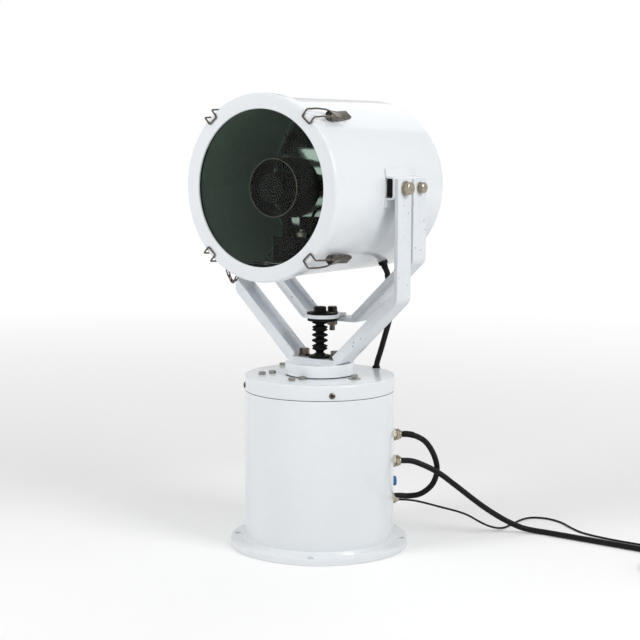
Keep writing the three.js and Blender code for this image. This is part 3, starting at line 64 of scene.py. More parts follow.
def addCamera():
    backward = Vector(view["right"]).cross(Vector(view["up"])).normalized()
    upward = Vector(view["up"]).normalized()
    aside = upward.cross(backward).normalized()
    bpy.ops.object.camera_add()
    camera = bpy.context.object
    camera.name = "viewCamera"
    turn = Matrix((aside, upward, backward)).transposed().to_4x4()
    camera.matrix_world = Matrix.Translation(view["place"]) @ turn
    camera.data.lens = view["lens"]
    camera.data.sensor_width = view["sensor"]
    camera.data.clip_end = view["reach"]
    scene.camera = camera


addCamera()

# Sizes below are in millimetres, in a place of their own; the helpers bring them into the scene's metres
metre = 0.001
axisHeight = 764
wallRadius = 159.3
meshing = {
    "weld": 0.01,
    "wireWeld": 0.001,
    "turnSteps": 96,
    "straight": 89,
    "smoothAngle": 32,
    "bevelAngle": 35,
}


def placeAt(origin, xWay, yWay, zWay):
    turn = Matrix((xWay, yWay, zWay)).transposed().to_4x4()
    return Matrix.Scale(metre, 4) @ Matrix.Translation(origin) @ turn


groundPlace = placeAt((0, 0, 0), (1, 0, 0), (0, 1, 0), (0, 0, 1))
lampPlace = placeAt((0, 0, axisHeight), (1, 0, 0), (0, 0, 1), (0, -1, 0))  # x aside, y up, z forward


def moved(place, x=0, y=0, z=0):
    return place @ Matrix.Translation((x, y, z))


def turnedPlace(place, angle, axis="Z"):
    return place @ Matrix.Rotation(math.radians(angle), 4, axis)


def wallPlace(angle, height, radius=wallRadius):  # z points out of the pedestal's wall
    out = onCircle(1, angle)
    return placeAt(out * radius + Vector((0, 0, height)), (-out.y, out.x, 0), (0, 0, 1), out)


def sidePlace(side, forward):  # z points out along the tilt axis
    return placeAt((0, -forward, axisHeight), (0, side, 0), (0, 0, 1), (side, 0, 0))


def onCircle(radius, angle, height=0):
    turn = math.radians(angle)
    return Vector((radius * math.cos(turn), radius * math.sin(turn), height))


bothSides = ((-1, "left"), (1, "right"))


# Modelling steps that the pieces share
def selectOnly(*pieces):
    if bpy.context.object and bpy.context.object.mode != "OBJECT":
        bpy.ops.object.mode_set(mode="OBJECT")
    bpy.ops.object.select_all(action="DESELECT")
    for piece in pieces:
        piece.select_set(True)
    if pieces:
        bpy.context.view_layer.objects.active = pieces[0]


def drawLine(points, place):  # one vertex, pulled out to each next point
    spots = [place @ Vector(point) for point in points]
    selectOnly()
    bpy.ops.mesh.primitive_plane_add(size=metre, location=spots[0])
    bpy.ops.object.mode_set(mode="EDIT")
    bpy.ops.mesh.merge(type="CENTER")
    for before, after in zip(spots, spots[1:]):
        bpy.ops.mesh.extrude_vertices_move(TRANSFORM_OT_translate={"value": after - before})
    bpy.ops.mesh.select_all(action="SELECT")
    return bpy.context.object


def closeUp():
    bpy.ops.mesh.select_all(action="SELECT")
    bpy.ops.mesh.remove_doubles(threshold=meshing["weld"] * metre)
    bpy.ops.mesh.normals_make_consistent(inside=False)
    bpy.ops.object.mode_set(mode="OBJECT")


def turned(profile, place=groundPlace, steps=meshing["turnSteps"]):  # (radius, height) spun round z
    ends = [] if profile[0][0] == 0 and profile[-1][0] == 0 else profile[:1]
    piece = drawLine([(radius, 0, height) for radius, height in profile + ends], place)
    spindle = (place.to_3x3() @ Vector((0, 0, 1))).normalized()
    bpy.ops.mesh.spin(steps=steps, angle=2 * math.pi, center=place.translation, axis=spindle)
    closeUp()
    return piece


def plate(outline, low, high, place=groundPlace):  # outline of (x, y), thick along the place's z
    ring = list(outline) + [outline[0]]
    piece = drawLine([(x, y, low) for x, y in ring], place)
    bpy.ops.mesh.remove_doubles(threshold=meshing["weld"] * metre)
    bpy.ops.mesh.edge_face_add()
    depth = place.to_3x3() @ Vector((0, 0, high - low))
    bpy.ops.mesh.extrude_region_move(TRANSFORM_OT_translate={"value": depth})
    closeUp()
    return piece


def foldedSheet(line, low, high, thickness, place=groundPlace):  # a bent strip seen from its edge
    piece = drawLine([(x, y, low) for x, y in line], place)
    depth = place.to_3x3() @ Vector((0, 0, high - low))
    bpy.ops.mesh.extrude_region_move(TRANSFORM_OT_translate={"value": depth})
    bpy.ops.mesh.select_all(action="SELECT")
    bpy.ops.mesh.normals_make_consistent(inside=False)
    bpy.ops.object.mode_set(mode="OBJECT")
    solidify = piece.modifiers.new("sheet", "SOLIDIFY")
    solidify.thickness = thickness * metre
    solidify.offset = 0
    solidify.use_even_offset = True
    applyModifiers(piece)
    return piece


def block(low, high, place=groundPlace):
    outline = [(low[0], low[1]), (high[0], low[1]), (high[0], high[1]), (low[0], high[1])]
    return plate(outline, low[2], high[2], place)


def roundBar(radius, low, high, place, steps=32):
    return turned([(0, low), (radius, low), (radius, high), (0, high)], place, steps)


def applyModifiers(piece):
    selectOnly(piece)
    bpy.ops.object.transform_apply(location=True, rotation=True, scale=True)
    for modifier in list(piece.modifiers):
        bpy.ops.object.modifier_apply(modifier=modifier.name)


def carved(piece, tools, way="DIFFERENCE"):
    for tool in tools:
        cut = piece.modifiers.new("carve", "BOOLEAN")
        cut.object = tool
        cut.operation = way
        applyModifiers(piece)
        bpy.data.objects.remove(tool, do_unlink=True)
    return piece


def joinedUp(*pieces):
    selectOnly(*pieces)
    bpy.ops.object.join()
    return bpy.context.object


def bevelled(piece, width, segments=2):
    bevel = piece.modifiers.new("edges", "BEVEL")
    bevel.width = width * metre
    bevel.segments = segments
    bevel.limit_method = "ANGLE"
    bevel.angle_limit = math.radians(meshing["bevelAngle"])
    applyModifiers(piece)
    return piece


def roundedLine(points, radii, steps=6):  # a flat line with an arc at each inner point
    line = [points[0]]
    for before, corner, after, radius in zip(points, points[1:], points[2:], radii):
        inward = (Vector(before) - Vector(corner)).normalized()
        outward = (Vector(after) - Vector(corner)).normalized()
        half = inward.angle(outward) / 2
        if radius == 0 or half > math.radians(meshing["straight"]):
            line.append(corner)
            continue
        centre = Vector(corner) + (inward + outward).normalized() * radius / math.sin(half)
        first = Vector(corner) + inward * radius / math.tan(half) - centre
        last = Vector(corner) + outward * radius / math.tan(half) - centre
        for step in range(steps + 1):
            line.append(tuple(centre + first.slerp(last, step / steps).normalized() * radius))
    return line + [points[-1]]


def roundedLoop(points, radius, steps=6):
    count = len(points)
    around = [points[-1]] + list(points) + [points[0]]
    return roundedLine(around, [radius] * count, steps)[1:-1]


def wire(points, radius, place=groundPlace, closed=False, sides=4):
    drawLine(list(points) + ([points[0]] if closed else []), place)
    bpy.ops.mesh.remove_doubles(threshold=meshing["wireWeld"] * metre)
    bpy.ops.object.mode_set(mode="OBJECT")
    bpy.ops.object.transform_apply(location=True, rotation=True, scale=True)
    bpy.ops.object.convert(target="CURVE")
    curve = bpy.context.object.data
    curve.bevel_depth = radius * metre
    curve.bevel_resolution = sides
    curve.use_fill_caps = not closed
    bpy.ops.object.convert(target="MESH")
    piece = bpy.context.object
    bpy.ops.object.mode_set(mode="EDIT")
    closeUp()
    return piece


def finished(parts, name, finish, body, bevel=0, segments=2, smooth=meshing["smoothAngle"], nodes=()):
    piece = joinedUp(*parts) if isinstance(parts, list) else parts
    applyModifiers(piece)
    if bevel:
        bevelled(piece, bevel, segments)
    selectOnly(piece)
    bpy.ops.object.shade_smooth_by_angle(angle=math.radians(smooth))
    piece.name = piece.data.name = name
    piece.data.materials.clear()
    piece.data.materials.append(finishes[finish])
    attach(piece, body)
    if nodes:
        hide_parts(*nodes)
    return piece


def softRing(profile, rounding, place=groundPlace, steps=meshing["turnSteps"], arc=2):
    return turned(roundedLoop(profile, rounding, arc), place, steps)


def barsAround(place, count, reach, radius, low, high, start=0, steps=16):
    angles = [start + 360 * turn / count for turn in range(count)]
    return [roundBar(radius, low, high, moved(place, *onCircle(reach, angle)), steps) for angle in angles]


# Node helpers, and the shader groups that several finishes use
def setSockets(node, values):
    for socket, value in values.items():
        node.inputs[socket].default_value = value


def addNode(tree, kind, values=None, **settings):
    node = tree.nodes.new("ShaderNode" + kind)
    for setting, choice in settings.items():
        setattr(node, setting, choice)
    setSockets(node, values or {})
    return node


def linkNodes(tree, *links):
    for source, output, target, entry in links:
        tree.links.new(source.outputs[output], target.inputs[entry])


def newGroup(name, inputs, outputs):
    group = bpy.data.node_groups.new(name, "ShaderNodeTree")
    for socket, value in inputs.items():
        item = group.interface.new_socket(socket, in_out="INPUT", socket_type="NodeSocketFloat")
        item.default_value = value
    for socket, kind in outputs.items():
        group.interface.new_socket(socket, in_out="OUTPUT", socket_type=kind)
    return group, group.nodes.new("NodeGroupInput"), group.nodes.new("NodeGroupOutput")


def addGrainGroup():  # fine unevenness: a mask, and a normal with the finish's own depth
    inputs = {"Scale": 200, "Detail": 3, "Depth": 0.1}
    outputs = {"Mask": "NodeSocketFloat", "Normal": "NodeSocketVector"}
    group, given, out = newGroup("surfaceGrain", inputs, outputs)
    coordinates = addNode(group, "TexCoord")
    noise = addNode(group, "TexNoise")
    bump = addNode(group, "Bump", {"Distance": 0.0004})
    linkNodes(
        group, (coordinates, "Object", noise, "Vector"), (given, "Scale", noise, "Scale"),
        (given, "Detail", noise, "Detail"), (noise, "Fac", bump, "Height"),
        (given, "Depth", bump, "Strength"), (noise, "Fac", out, "Mask"), (bump, "Normal", out, "Normal"),
    )
    return group


def addSpeckGroup():  # small chips, as one mask
    inputs = {"Scale": 60, "Amount": 0.1, "Size": 0.16}
    group, given, out = newGroup("specks", inputs, {"Mask": "NodeSocketFloat"})
    coordinates = addNode(group, "TexCoord")
    cells = addNode(group, "TexVoronoi")
    pick = addNode(group, "TexWhiteNoise")
    chosen = addNode(group, "Math", operation="LESS_THAN")
    near = addNode(group, "Math", operation="LESS_THAN")
    both = addNode(group, "Math", operation="MULTIPLY")
    linkNodes(
        group, (coordinates, "Object", cells, "Vector"), (given, "Scale", cells, "Scale"),
        (cells, "Position", pick, "Vector"), (pick, "Value", chosen, 0), (given, "Amount", chosen, 1),
        (cells, "Distance", near, 0), (given, "Size", near, 1),
        (chosen, "Value", both, 0), (near, "Value", both, 1), (both, "Value", out, "Mask"),
    )
    return group


grainGroup = addGrainGroup()
speckGroup = addSpeckGroup()

# Each finish: its colour and what it drifts to, roughness from and to, grain, specks and coat
finishLooks = {
    "white_paint": {"colour": (0.835, 0.865, 0.89), "drift": (0.80, 0.835, 0.865), "rough": (0.20, 0.27),
                    "scale": 60, "depth": 0.04, "coat": 0.4},
    "frame_paint": {"colour": (0.80, 0.835, 0.865), "drift": (0.70, 0.745, 0.785), "rough": (0.24, 0.36),
                    "scale": 55, "depth": 0.16, "coat": 0.3,
                    "specks": {"Scale": 110, "Amount": 0.09}, "speckColour": (0.09, 0.085, 0.08)},
    "drum_lining": {"colour": (0.25, 0.33, 0.28), "drift": (0.19, 0.265, 0.22), "rough": (0.45, 0.6),
                    "scale": 60, "depth": 0.05, "shine": 0.3},
    "black_paint": {"colour": (0.006, 0.006, 0.006), "drift": (0.013, 0.013, 0.012), "rough": (0.42, 0.6),
                    "scale": 60, "depth": 0.01, "shine": 0.1},
    "black_rubber": {"colour": (0.004, 0.004, 0.004), "drift": (0.010, 0.010, 0.009), "rough": (0.45, 0.7),
                     "scale": 500, "depth": 0.1, "shine": 0.12},
    "cable_jacket": {"colour": (0.006, 0.006, 0.007), "drift": (0.014, 0.014, 0.015), "rough": (0.34, 0.5),
                     "scale": 420, "depth": 0.1, "shine": 0.14},
    "steel": {"colour": (0.52, 0.50, 0.47), "drift": (0.20, 0.19, 0.17), "rough": (0.16, 0.36),
              "scale": 240, "depth": 0.35, "metal": 1},
    "dark_steel": {"colour": (0.24, 0.205, 0.17), "drift": (0.05, 0.042, 0.034), "rough": (0.2, 0.42),
                   "scale": 170, "depth": 0.45, "metal": 1},
    "brass": {"colour": (0.60, 0.54, 0.44), "drift": (0.20, 0.17, 0.13), "rough": (0.2, 0.38),
              "scale": 200, "depth": 0.3, "metal": 1},
    "aluminium": {"colour": (0.70, 0.71, 0.71), "drift": (0.58, 0.59, 0.60), "rough": (0.22, 0.32),
                  "scale": 500, "depth": 0.08, "metal": 1},
    "blue_plastic": {"colour": (0.018, 0.16, 0.42), "drift": (0.012, 0.11, 0.32), "rough": (0.3, 0.42),
                     "scale": 500, "depth": 0.1},
    "mirror": {"colour": (0.58, 0.63, 0.60), "drift": (0.54, 0.59, 0.56), "rough": (0.04, 0.08),
               "scale": 30, "depth": 0, "metal": 1},
}
glassLooks = {
    "tinted_glass": {"Base Color": (0.80, 0.88, 0.83, 1), "IOR": 1.18, "Roughness": 0,
                     "Specular IOR Level": 0.12},
    "quartz": {"Base Color": (0.93, 0.95, 0.95, 1), "IOR": 1.45, "Roughness": 0.02,
               "Specular IOR Level": 0.5},
}


def newMaterial(name):
    material = bpy.data.materials.new(name)
    material.use_nodes = True
    return material, material.node_tree, material.node_tree.nodes["Principled BSDF"]


def makeFinish(name, looks):
    material, tree, shader = newMaterial(name)
    grain = addNode(tree, "Group", {}, node_tree=grainGroup)
    setSockets(grain, {"Scale": looks["scale"], "Depth": looks["depth"]})
    drift = addNode(tree, "Mix", {"A": (*looks["colour"], 1), "B": (*looks["drift"], 1)}, data_type="RGBA")
    rough = addNode(tree, "MapRange", {"To Min": looks["rough"][0], "To Max": looks["rough"][1]})
    painted = drift
    if "specks" in looks:
        specks = addNode(tree, "Group", {}, node_tree=speckGroup)
        setSockets(specks, looks["specks"])
        painted = addNode(tree, "Mix", {"B": (*looks["speckColour"], 1)}, data_type="RGBA")
        linkNodes(tree, (specks, "Mask", painted, "Factor"), (drift, "Result", painted, "A"))
    linkNodes(
        tree, (grain, "Mask", drift, "Factor"), (painted, "Result", shader, "Base Color"),
        (grain, "Mask", rough, "Value"), (rough, "Result", shader, "Roughness"),
    )
    if looks["depth"]:
        linkNodes(tree, (grain, "Normal", shader, "Normal"))
    setSockets(shader, {"Metallic": looks.get("metal", 0), "Coat Weight": looks.get("coat", 0),
                        "Coat Roughness": 0.06, "Specular IOR Level": looks.get("shine", 0.5)})
    return material


def makeGlass(name, looks):
    material, _, shader = newMaterial(name)
    setSockets(shader, {**looks, "Transmission Weight": 1})
    return material


finishes = {name: makeFinish(name, looks) for name, looks in finishLooks.items()}
finishes.update({name: makeGlass(name, looks) for name, looks in glassLooks.items()})
for subpart in frame["record"]["subparts"]:
    node = nodes[subpart["node"]]
    node.data.materials.clear()
    node.data.materials.append(finishes[subpart["material_slot"]])
print("finishes made:", len(finishes))

# Free cords: each route in millimetres, and the coil of what the photograph's view leaves over
cords = {
    "step": 0.3,  # room between a cord's end and its fitting
    "glandEnd": 178.1,
    "thickRadius": 6.25,
    "thinRadius": 2.25,
    "fittingEnd": 174.6,
    "coilSteps": 24,
    "climb": 0.5,  # turns that a coil takes up to its second layer
    "floorGap": 0.05,
    "fineSteps": 20,
    "curveSteps": 5,
    "sides": 5,
    "sleeve": 0.7,  # how far the tape stands proud of the cable
}
controlRoute = [(146, 148, 226), (159.7, 171.3, 210.4), (170, 192.1, 177.4), (171, 203.6, 142.8),
                (159, 203.6, 108.8), (135.3, 193.2, 86.6), (112, 184, 80.5)]
powerRoute = [(149, 149, 168), (165, 165, 158), (185, 185, 143), (212, 212, 114), (261, 261, 60),
              (301, 301, 25), (330, 327, 9), (356, 337, 6.3), (393, 337.5, 6.3), (480, 337.5, 6.3),
              (600, 337.5, 6.3), (680, 337.5, 6.3)]
earthRoute = [(150, 150, 81.5), (189, 189, 66), (229, 229, 48), (258, 260, 24), (266, 300, 8),
              (270, 330, 2.3), (271, 361, 2.3), (269, 403, 2.3), (276, 443, 2.3), (306, 459, 2.3),
              (348, 450, 2.3), (384, 425, 2.3), (430, 396, 2.3), (500, 383, 2.3), (575, 382, 2.3)]
powerCoil = {"centre": (732, 255.5), "outer": 82, "pitch": 13.4, "turns": 2.3, "layer": 13.3,
             "start": 90, "way": -1, "spread": 12, "tail": 0.25, "endHeight": 14.05}
earthCoil = {"centre": (630, 414), "outer": 32, "pitch": 5.4, "turns": 1.85, "layer": 5.2,
             "start": -90, "way": 1, "spread": 6, "tail": 0.25, "endHeight": 3.25}


def coilPoints(coil, radius):  # inwards on the floor, up, and outwards on top, then down to its end piece
    climb = cords["climb"]
    wound = 2 * coil["turns"] + climb
    total = wound + coil["tail"]
    middle = coil["turns"] + climb / 2
    steps = round(total * cords["coilSteps"])
    points = []
    for step in range(steps + 1):
        turn = total * step / steps
        tail = max(0, turn - wound) / coil["tail"]
        reach = coil["outer"] - coil["pitch"] * (middle - abs(min(turn, wound) - middle))
        reach += coil["spread"] * math.sin(tail * math.pi / 2)
        rise = min(1, max(0, (turn - coil["turns"]) / climb))
        upper = radius + cords["floorGap"] + coil["layer"] * rise
        height = upper + (coil["endHeight"] - upper) * (1 - math.cos(tail * math.pi)) / 2
        spot = onCircle(reach, coil["start"] + coil["way"] * turn * 360, height)
        points.append(spot + Vector((*coil["centre"], 0)))
    ends = []
    for end, inner in ((points[0], points[1]), (points[-1], points[-2])):
        along = ((end - inner) * Vector((1, 1, 0))).normalized()
        ends.append(end + along * 2 * radius)
    return [ends[0]] + points + [ends[1]]


def smoothRoute(points, count):  # one smooth curve through the points, as evenly spaced spots
    spots = [Vector(point) for point in points]
    spots = [2 * spots[0] - spots[1]] + spots + [2 * spots[-1] - spots[-2]]
    steps = cords["fineSteps"]
    fine = []
    for back, start, end, onward in zip(spots, spots[1:], spots[2:], spots[3:]):
        first = (start - back).length ** 0.5
        second = first + (end - start).length ** 0.5
        third = second + (onward - end).length ** 0.5
        for step in range(steps):
            now = first + (second - first) * step / steps
            one = back.lerp(start, now / first)
            two = start.lerp(end, (now - first) / (second - first))
            three = end.lerp(onward, (now - second) / (third - second))
            left = one.lerp(two, now / second)
            right = two.lerp(three, (now - first) / (third - first))
            fine.append(left.lerp(right, (now - first) / (second - first)))
    fine.append(spots[-2])
    reached = [0]
    for before, after in zip(fine, fine[1:]):
        reached.append(reached[-1] + (after - before).length)
    even, place = [], 0
    for step in range(count):
        target = reached[-1] * step / (count - 1)
        while place < len(fine) - 2 and reached[place + 1] < target:
            place += 1
        share = (target - reached[place]) / (reached[place + 1] - reached[place])
        even.append(fine[place].lerp(fine[place + 1], min(1, share)))
    return even


def wallPoint(reach, height, angle=45):
    return onCircle(reach, angle, height)


def layCord(name, points, radius):
    selectOnly()
    bpy.ops.curve.primitive_bezier_curve_add()
    piece = bpy.context.object
    piece.name = piece.data.name = name
    piece.data.splines.clear()
    spline = piece.data.splines.new("BEZIER")
    spline.bezier_points.add(len(points) - 1)
    for knot, point in zip(spline.bezier_points, points):
        knot.co = point * metre
        knot.handle_left_type = knot.handle_right_type = "AUTO"
    piece.data.resolution_u = cords["curveSteps"]
    piece.data.bevel_depth = radius * metre
    piece.data.bevel_resolution = cords["sides"]
    piece.data.use_fill_caps = True
    piece.data.materials.append(finishes["cable_jacket"])
    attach(piece, "base")
    return piece


def curveLength(piece):
    points = piece.data.splines[0].bezier_points
    return sum((after.co - before.co).length for before, after in zip(points, points[1:]))


def square(reach, height, radius, angle=45):  # a fitting's end and the point one cord's width out of it
    return [wallPoint(reach + cords["step"] + out, height, angle) for out in (0, 2 * radius)]


thick, thin = cords["thickRadius"], cords["thinRadius"]
controlEnd = square(cords["glandEnd"], 82.5, thick, 60)
controlLine = square(cords["glandEnd"], 230, thick) + controlRoute + controlEnd[::-1]
powerWound = coilPoints(powerCoil, thick)
powerLine = square(cords["glandEnd"], 172, thick) + powerRoute + [powerWound[0]]
earthWound = coilPoints(earthCoil, thin)
earthLine = square(cords["fittingEnd"], 86, thin) + earthRoute + [earthWound[0]]
controlCord = layCord("controlCord", smoothRoute(controlLine, 26), thick)
powerCord = layCord("powerCord", smoothRoute(powerLine, 30)[:-1] + powerWound, thick)
earthCord = layCord("earthCord", smoothRoute(earthLine, 34)[:-1] + earthWound, thin)


def endPlace(points, forward=False):  # at a cord's end: z runs on from it, or x where forward is set
    last = points[-1]
    along = ((last - points[-2]) * Vector((1, 1, 0))).normalized()
    aside = Vector((-along.y, along.x, 0))
    start = last + along * cords["step"]
    return placeAt(start, along, aside, (0, 0, 1)) if forward else placeAt(start, aside, (0, 0, 1), along)


# The cords' end pieces, measured along from each cord's end
plugShape = {
    "nut": [(6.6, 0), (9, 0), (11, 2.6), (11, 15.6), (6.6, 15.6)],
    "grips": {"count": 12, "reach": 11.4, "radius": 1.2, "low": 4.2, "high": 14.4, "start": 15, "steps": 12},
    "shell": [(4, 16), (12.4, 16), (14, 18.4), (14, 24), (13.2, 24.8), (13.2, 26.2), (14, 27), (14, 44),
              (13.2, 44.8), (13.2, 46.2), (14, 47), (14, 68), (10.5, 68), (10.5, 54), (4, 54)],
    "key": ((-2, -12.6, 56), (2, -9.8, 66)),
    "pins": {"count": 3, "reach": 5.4, "radius": 1.7, "low": 53.5, "high": 65, "start": 90, "steps": 24},
}
lugShape = {
    "barrel": [(2.3, 0), (3.2, 0), (3.2, 9.8), (0.8, 9.8), (0.8, 6), (2.3, 5)],
    "dent": (1.1, -4, 4),
    "dentHeight": 3.9,
    "dentsAt": (3, 6.4),
    "neck": ((8.2, 2.6), (11, 5.1)),
    "eyeAt": 18.5,
    "eyeRadius": 5.5,
    "hole": (3.2, -2, 2),
    "thickness": 1.6,
}


def addPlug():
    place = endPlace(powerWound)
    nut = softRing(plugShape["nut"], 0.6, place, 48)
    carved(nut, barsAround(place, **plugShape["grips"]))
    shell = softRing(plugShape["shell"], 0.35, place, 64)
    key = bevelled(block(*plugShape["key"], place), 0.4)
    plug = finished([nut, shell, key], "powerPlug", "black_rubber", "base", nodes=["power_plug"])
    pins = [bevelled(pin, 0.5) for pin in barsAround(place, **plugShape["pins"])]
    return [plug, finished(pins, "plugPins", "brass", "base")]


def addLug():
    size = lugShape
    place, flat = endPlace(earthWound), endPlace(earthWound, True)
    barrel = softRing(size["barrel"], 0.25, place, 40)
    dents = [turnedPlace(moved(place, 0, size["dentHeight"], along), 90, "Y") for along in size["dentsAt"]]
    carved(barrel, [roundBar(*size["dent"], dent, 16) for dent in dents])
    centre = Vector((size["eyeAt"], 0, 0))
    eye = [tuple((onCircle(size["eyeRadius"], turn) + centre).xy) for turn in range(-80, 81, 10)]
    near, wide = size["neck"]
    outline = [(near[0], -near[1]), (wide[0], -wide[1])] + eye + [wide, near]
    blade = plate(outline, -size["thickness"] / 2, size["thickness"] / 2, flat)
    carved(blade, [roundBar(*size["hole"], moved(flat, size["eyeAt"]), 40)])
    lug = finished([barrel, bevelled(blade, 0.25)], "earthLug", "steel", "base", nodes=["earth_lug"])
    return [lug]


plugPieces, lugPieces = addPlug(), addLug()
sleeve = wire(smoothRoute(controlLine, 60)[1:7], thick + cords["sleeve"])
finished(sleeve, "tapeSleeve", "black_paint", "base", smooth=60)
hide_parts("control_cable")
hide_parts("power_cable", "power_coil")
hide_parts("earth_lead", "earth_coil")
print("cords laid:", [round(curveLength(piece), 3) for piece in (controlCord, powerCord, earthCord)])

# Floor, backdrop and lights
studio = {
    "floorSize": 40,
    "floorDrop": 0.0005,
    "floorColour": (0.86, 0.86, 0.86),
    "floorRough": 0.9,
    "cameraWhite": 1,
    "floorGlow": (0.16, 0.62),
    "floorReach": (0.9, 5),
    "fill": 0.46,
    "mirrored": 0.7,
    "lamps": [
        ("keyLamp", (-1.0, -2.2, 1.9), (0, 0, 1.2), 1.0, 31),
        ("sideLamp", (2.1, -0.2, 1.8), (0, 0, 1.2), 1.0, 29),
        ("backLamp", (-0.8, 3.2, 2.7), (0, 0, 0.5), 2.2, 10),
    ],
}


def mirroredRays(tree, path):  # rays that metal or glass sends on
    either = addNode(tree, "Math", operation="MAXIMUM")
    linkNodes(tree, (path, "Is Glossy Ray", either, 0), (path, "Is Transmission Ray", either, 1))
    return either


def addFloor():
    selectOnly()
    bpy.ops.mesh.primitive_plane_add(size=studio["floorSize"], location=(0, 0, -studio["floorDrop"]))
    floor = bpy.context.object
    floor.name = "studioFloor"
    material, tree, shader = newMaterial("studioFloor")
    near, far = studio["floorReach"]
    dim, bright = studio["floorGlow"]
    path = addNode(tree, "LightPath")
    seen = addNode(tree, "Math", operation="MAXIMUM")
    shown = addNode(tree, "Math", operation="MULTIPLY")
    spot = addNode(tree, "TexCoord")
    reach = addNode(tree, "VectorMath", operation="LENGTH")
    glow = addNode(tree, "MapRange", {"From Min": near, "From Max": far, "To Min": dim, "To Max": bright})
    linkNodes(
        tree, (spot, "Object", reach, 0), (reach, "Value", glow, "Value"), (glow, "Result", shown, 1),
        (path, "Is Camera Ray", seen, 0), (mirroredRays(tree, path), "Value", seen, 1),
        (seen, "Value", shown, 0), (shown, "Value", shader, "Emission Strength"),
    )
    setSockets(shader, {"Base Color": (*studio["floorColour"], 1), "Roughness": studio["floorRough"],
                        "Specular IOR Level": 0, "Emission Color": (1, 1, 1, 1)})
    floor.data.materials.append(material)


def addWorld():
    world = bpy.data.worlds.new("studio")
    scene.world = world
    world.use_nodes = True
    tree = world.node_tree
    background = tree.nodes["Background"]
    path = addNode(tree, "LightPath")
    strength = addNode(tree, "Mix", {"A": studio["fill"], "B": studio["mirrored"]})
    white = addNode(tree, "Mix", {"B": studio["cameraWhite"]})
    linkNodes(
        tree, (mirroredRays(tree, path), "Value", strength, "Factor"), (strength, "Result", white, "A"),
        (path, "Is Camera Ray", white, "Factor"), (white, "Result", background, "Strength"),
    )
    setSockets(background, {"Color": (1, 1, 1, 1)})


def addLamps():
    for name, place, aim, size, power in studio["lamps"]:
        bpy.ops.object.light_add(type="AREA", location=place)
        lamp = bpy.context.object
        lamp.name = name
        lamp.data.shape = "SQUARE"
        lamp.data.size = size
        lamp.data.energy = power
        lamp.visible_glossy = name != "keyLamp"  # the key lamp doesn't show in the front glass
        lamp.visible_transmission = False  # nor does a lamp speckle the dark parts behind it
        lamp.rotation_euler = (Vector(aim) - Vector(place)).to_track_quat("-Z", "Y").to_euler()


addFloor()
addWorld()
addLamps()
print("studio ready")

frontPlace = placeAt((0, 0, 0), (1, 0, 0), (0, 0, 1), (0, -1, 0))  # x aside, y up, z towards the viewer


def uprightPlace(x, y, z):
    return moved(groundPlace, x, y, z)


def roughened(piece, strength, grainSize):
    lumps = bpy.data.textures.new("lumps", "CLOUDS")
    lumps.noise_scale = grainSize * metre
    push = piece.modifiers.new("rough", "DISPLACE")
    push.texture = lumps
    push.strength = strength * metre
    applyModifiers(piece)
    return piece


nutShape = {"slope": 0.09, "flat": 0.475, "over": 1, "shoulder": 0.6}  # slope and flat: shares of its width


def hexPrism(flats, low, high, place):  # a hexagon with its upper corners turned off
    corner = flats / math.sqrt(3)
    over = nutShape["over"]
    head = plate([tuple(onCircle(corner, 60 * turn).xy) for turn in range(6)], low, high + over, place)
    shoulder = high - nutShape["slope"] * flats - nutShape["shoulder"]
    face = [(0, low - over), (corner + over, low - over), (corner + over, shoulder),
            (nutShape["flat"] * flats, high), (0, high)]
    return carved(head, [turned(face, place, 48)], "INTERSECT")


boltShape = {"springShare": 0.62, "washerEdge": 0.35, "springEdge": 0.3, "shankEdge": 0.5}


def hexBolt(place, flats, height, washer=(0, 0), shank=(0, 0), spring=0):
    size = boltShape
    parts = []
    seat = 0
    if washer[0]:
        seat = washer[1]
        parts.append(bevelled(roundBar(washer[0], 0, seat, place, 48), size["washerEdge"]))
    if spring:
        ring = roundBar(size["springShare"] * flats, seat, seat + spring, place, 40)
        parts.append(bevelled(ring, size["springEdge"]))
    parts.append(hexPrism(flats, seat + spring, seat + height, place))
    if shank[0]:
        parts.append(bevelled(roundBar(shank[0], -shank[1], 0, place, 24), size["shankEdge"]))
    return joinedUp(*parts)


# Pedestal
pedestal = {
    "steps": 180,
    "flange": 189.5,
    "flangeTop": 13.3,
    "hole": 7.25,
    "holeCircle": 176,
    "holeAngles": (-60, 30, 120, 210),
    "over": 5,
    "weld": [(158.6, 13), (165.4, 13), (164.2, 14.9), (161.9, 17.4), (160.3, 19.6), (158.6, 21.4)],
    "weldRough": (1.6, 9),
    "inside": 155,
    "top": 333.7,
    # seal: a black rubber gasket under the lid, also painted shade in the gap below the lid's rim
    "seal": [(152, 332.7), (158.7, 332.7), (158.7, 335.1), (152, 335.1)],
    "lid": [(36, 359.7), (36, 365.7), (160, 365.7), (160, 334), (155.4, 334), (155.4, 359.7)],
    "lidBends": [1, 3.6, 2.2, 1],
}


def addPedestal():
    size = pedestal
    rim, top, steps = size["flange"], size["flangeTop"], size["steps"]
    flange = turned([(0, 0), (rim, 0), (rim, top), (0, top)], steps=steps)
    spots = [onCircle(size["holeCircle"], angle) for angle in size["holeAngles"]]
    over = size["over"]
    carved(flange, [roundBar(size["hole"], -over, top + over, uprightPlace(*spot), 40) for spot in spots])
    finished(flange, "mountingFlange", "white_paint", "base", bevel=1.3, segments=3, nodes=["base_flange"])
    weld = roughened(turned(size["weld"], steps=2 * steps), *size["weldRough"])
    finished(weld, "flangeWeld", "white_paint", "base", smooth=60)
    inside, height = size["inside"], size["top"]
    wall = [(inside, top), (wallRadius, top), (wallRadius, height), (inside, height)]
    tube = softRing(wall, 2, steps=steps, arc=4)
    finished(tube, "pedestalTube", "white_paint", "base", nodes=["base_body"])
    # black gasket ring in the gap under the lid: partly a real seal, partly painted shade in the gap
    finished(softRing(size["seal"], 0.3, steps=steps, arc=1), "lidSealAndShade", "black_rubber", "base")
    cover = turned(roundedLine(size["lid"], size["lidBends"], 5), steps=steps)
    finished(cover, "pedestalLid", "white_paint", "base", nodes=["base_lid"])


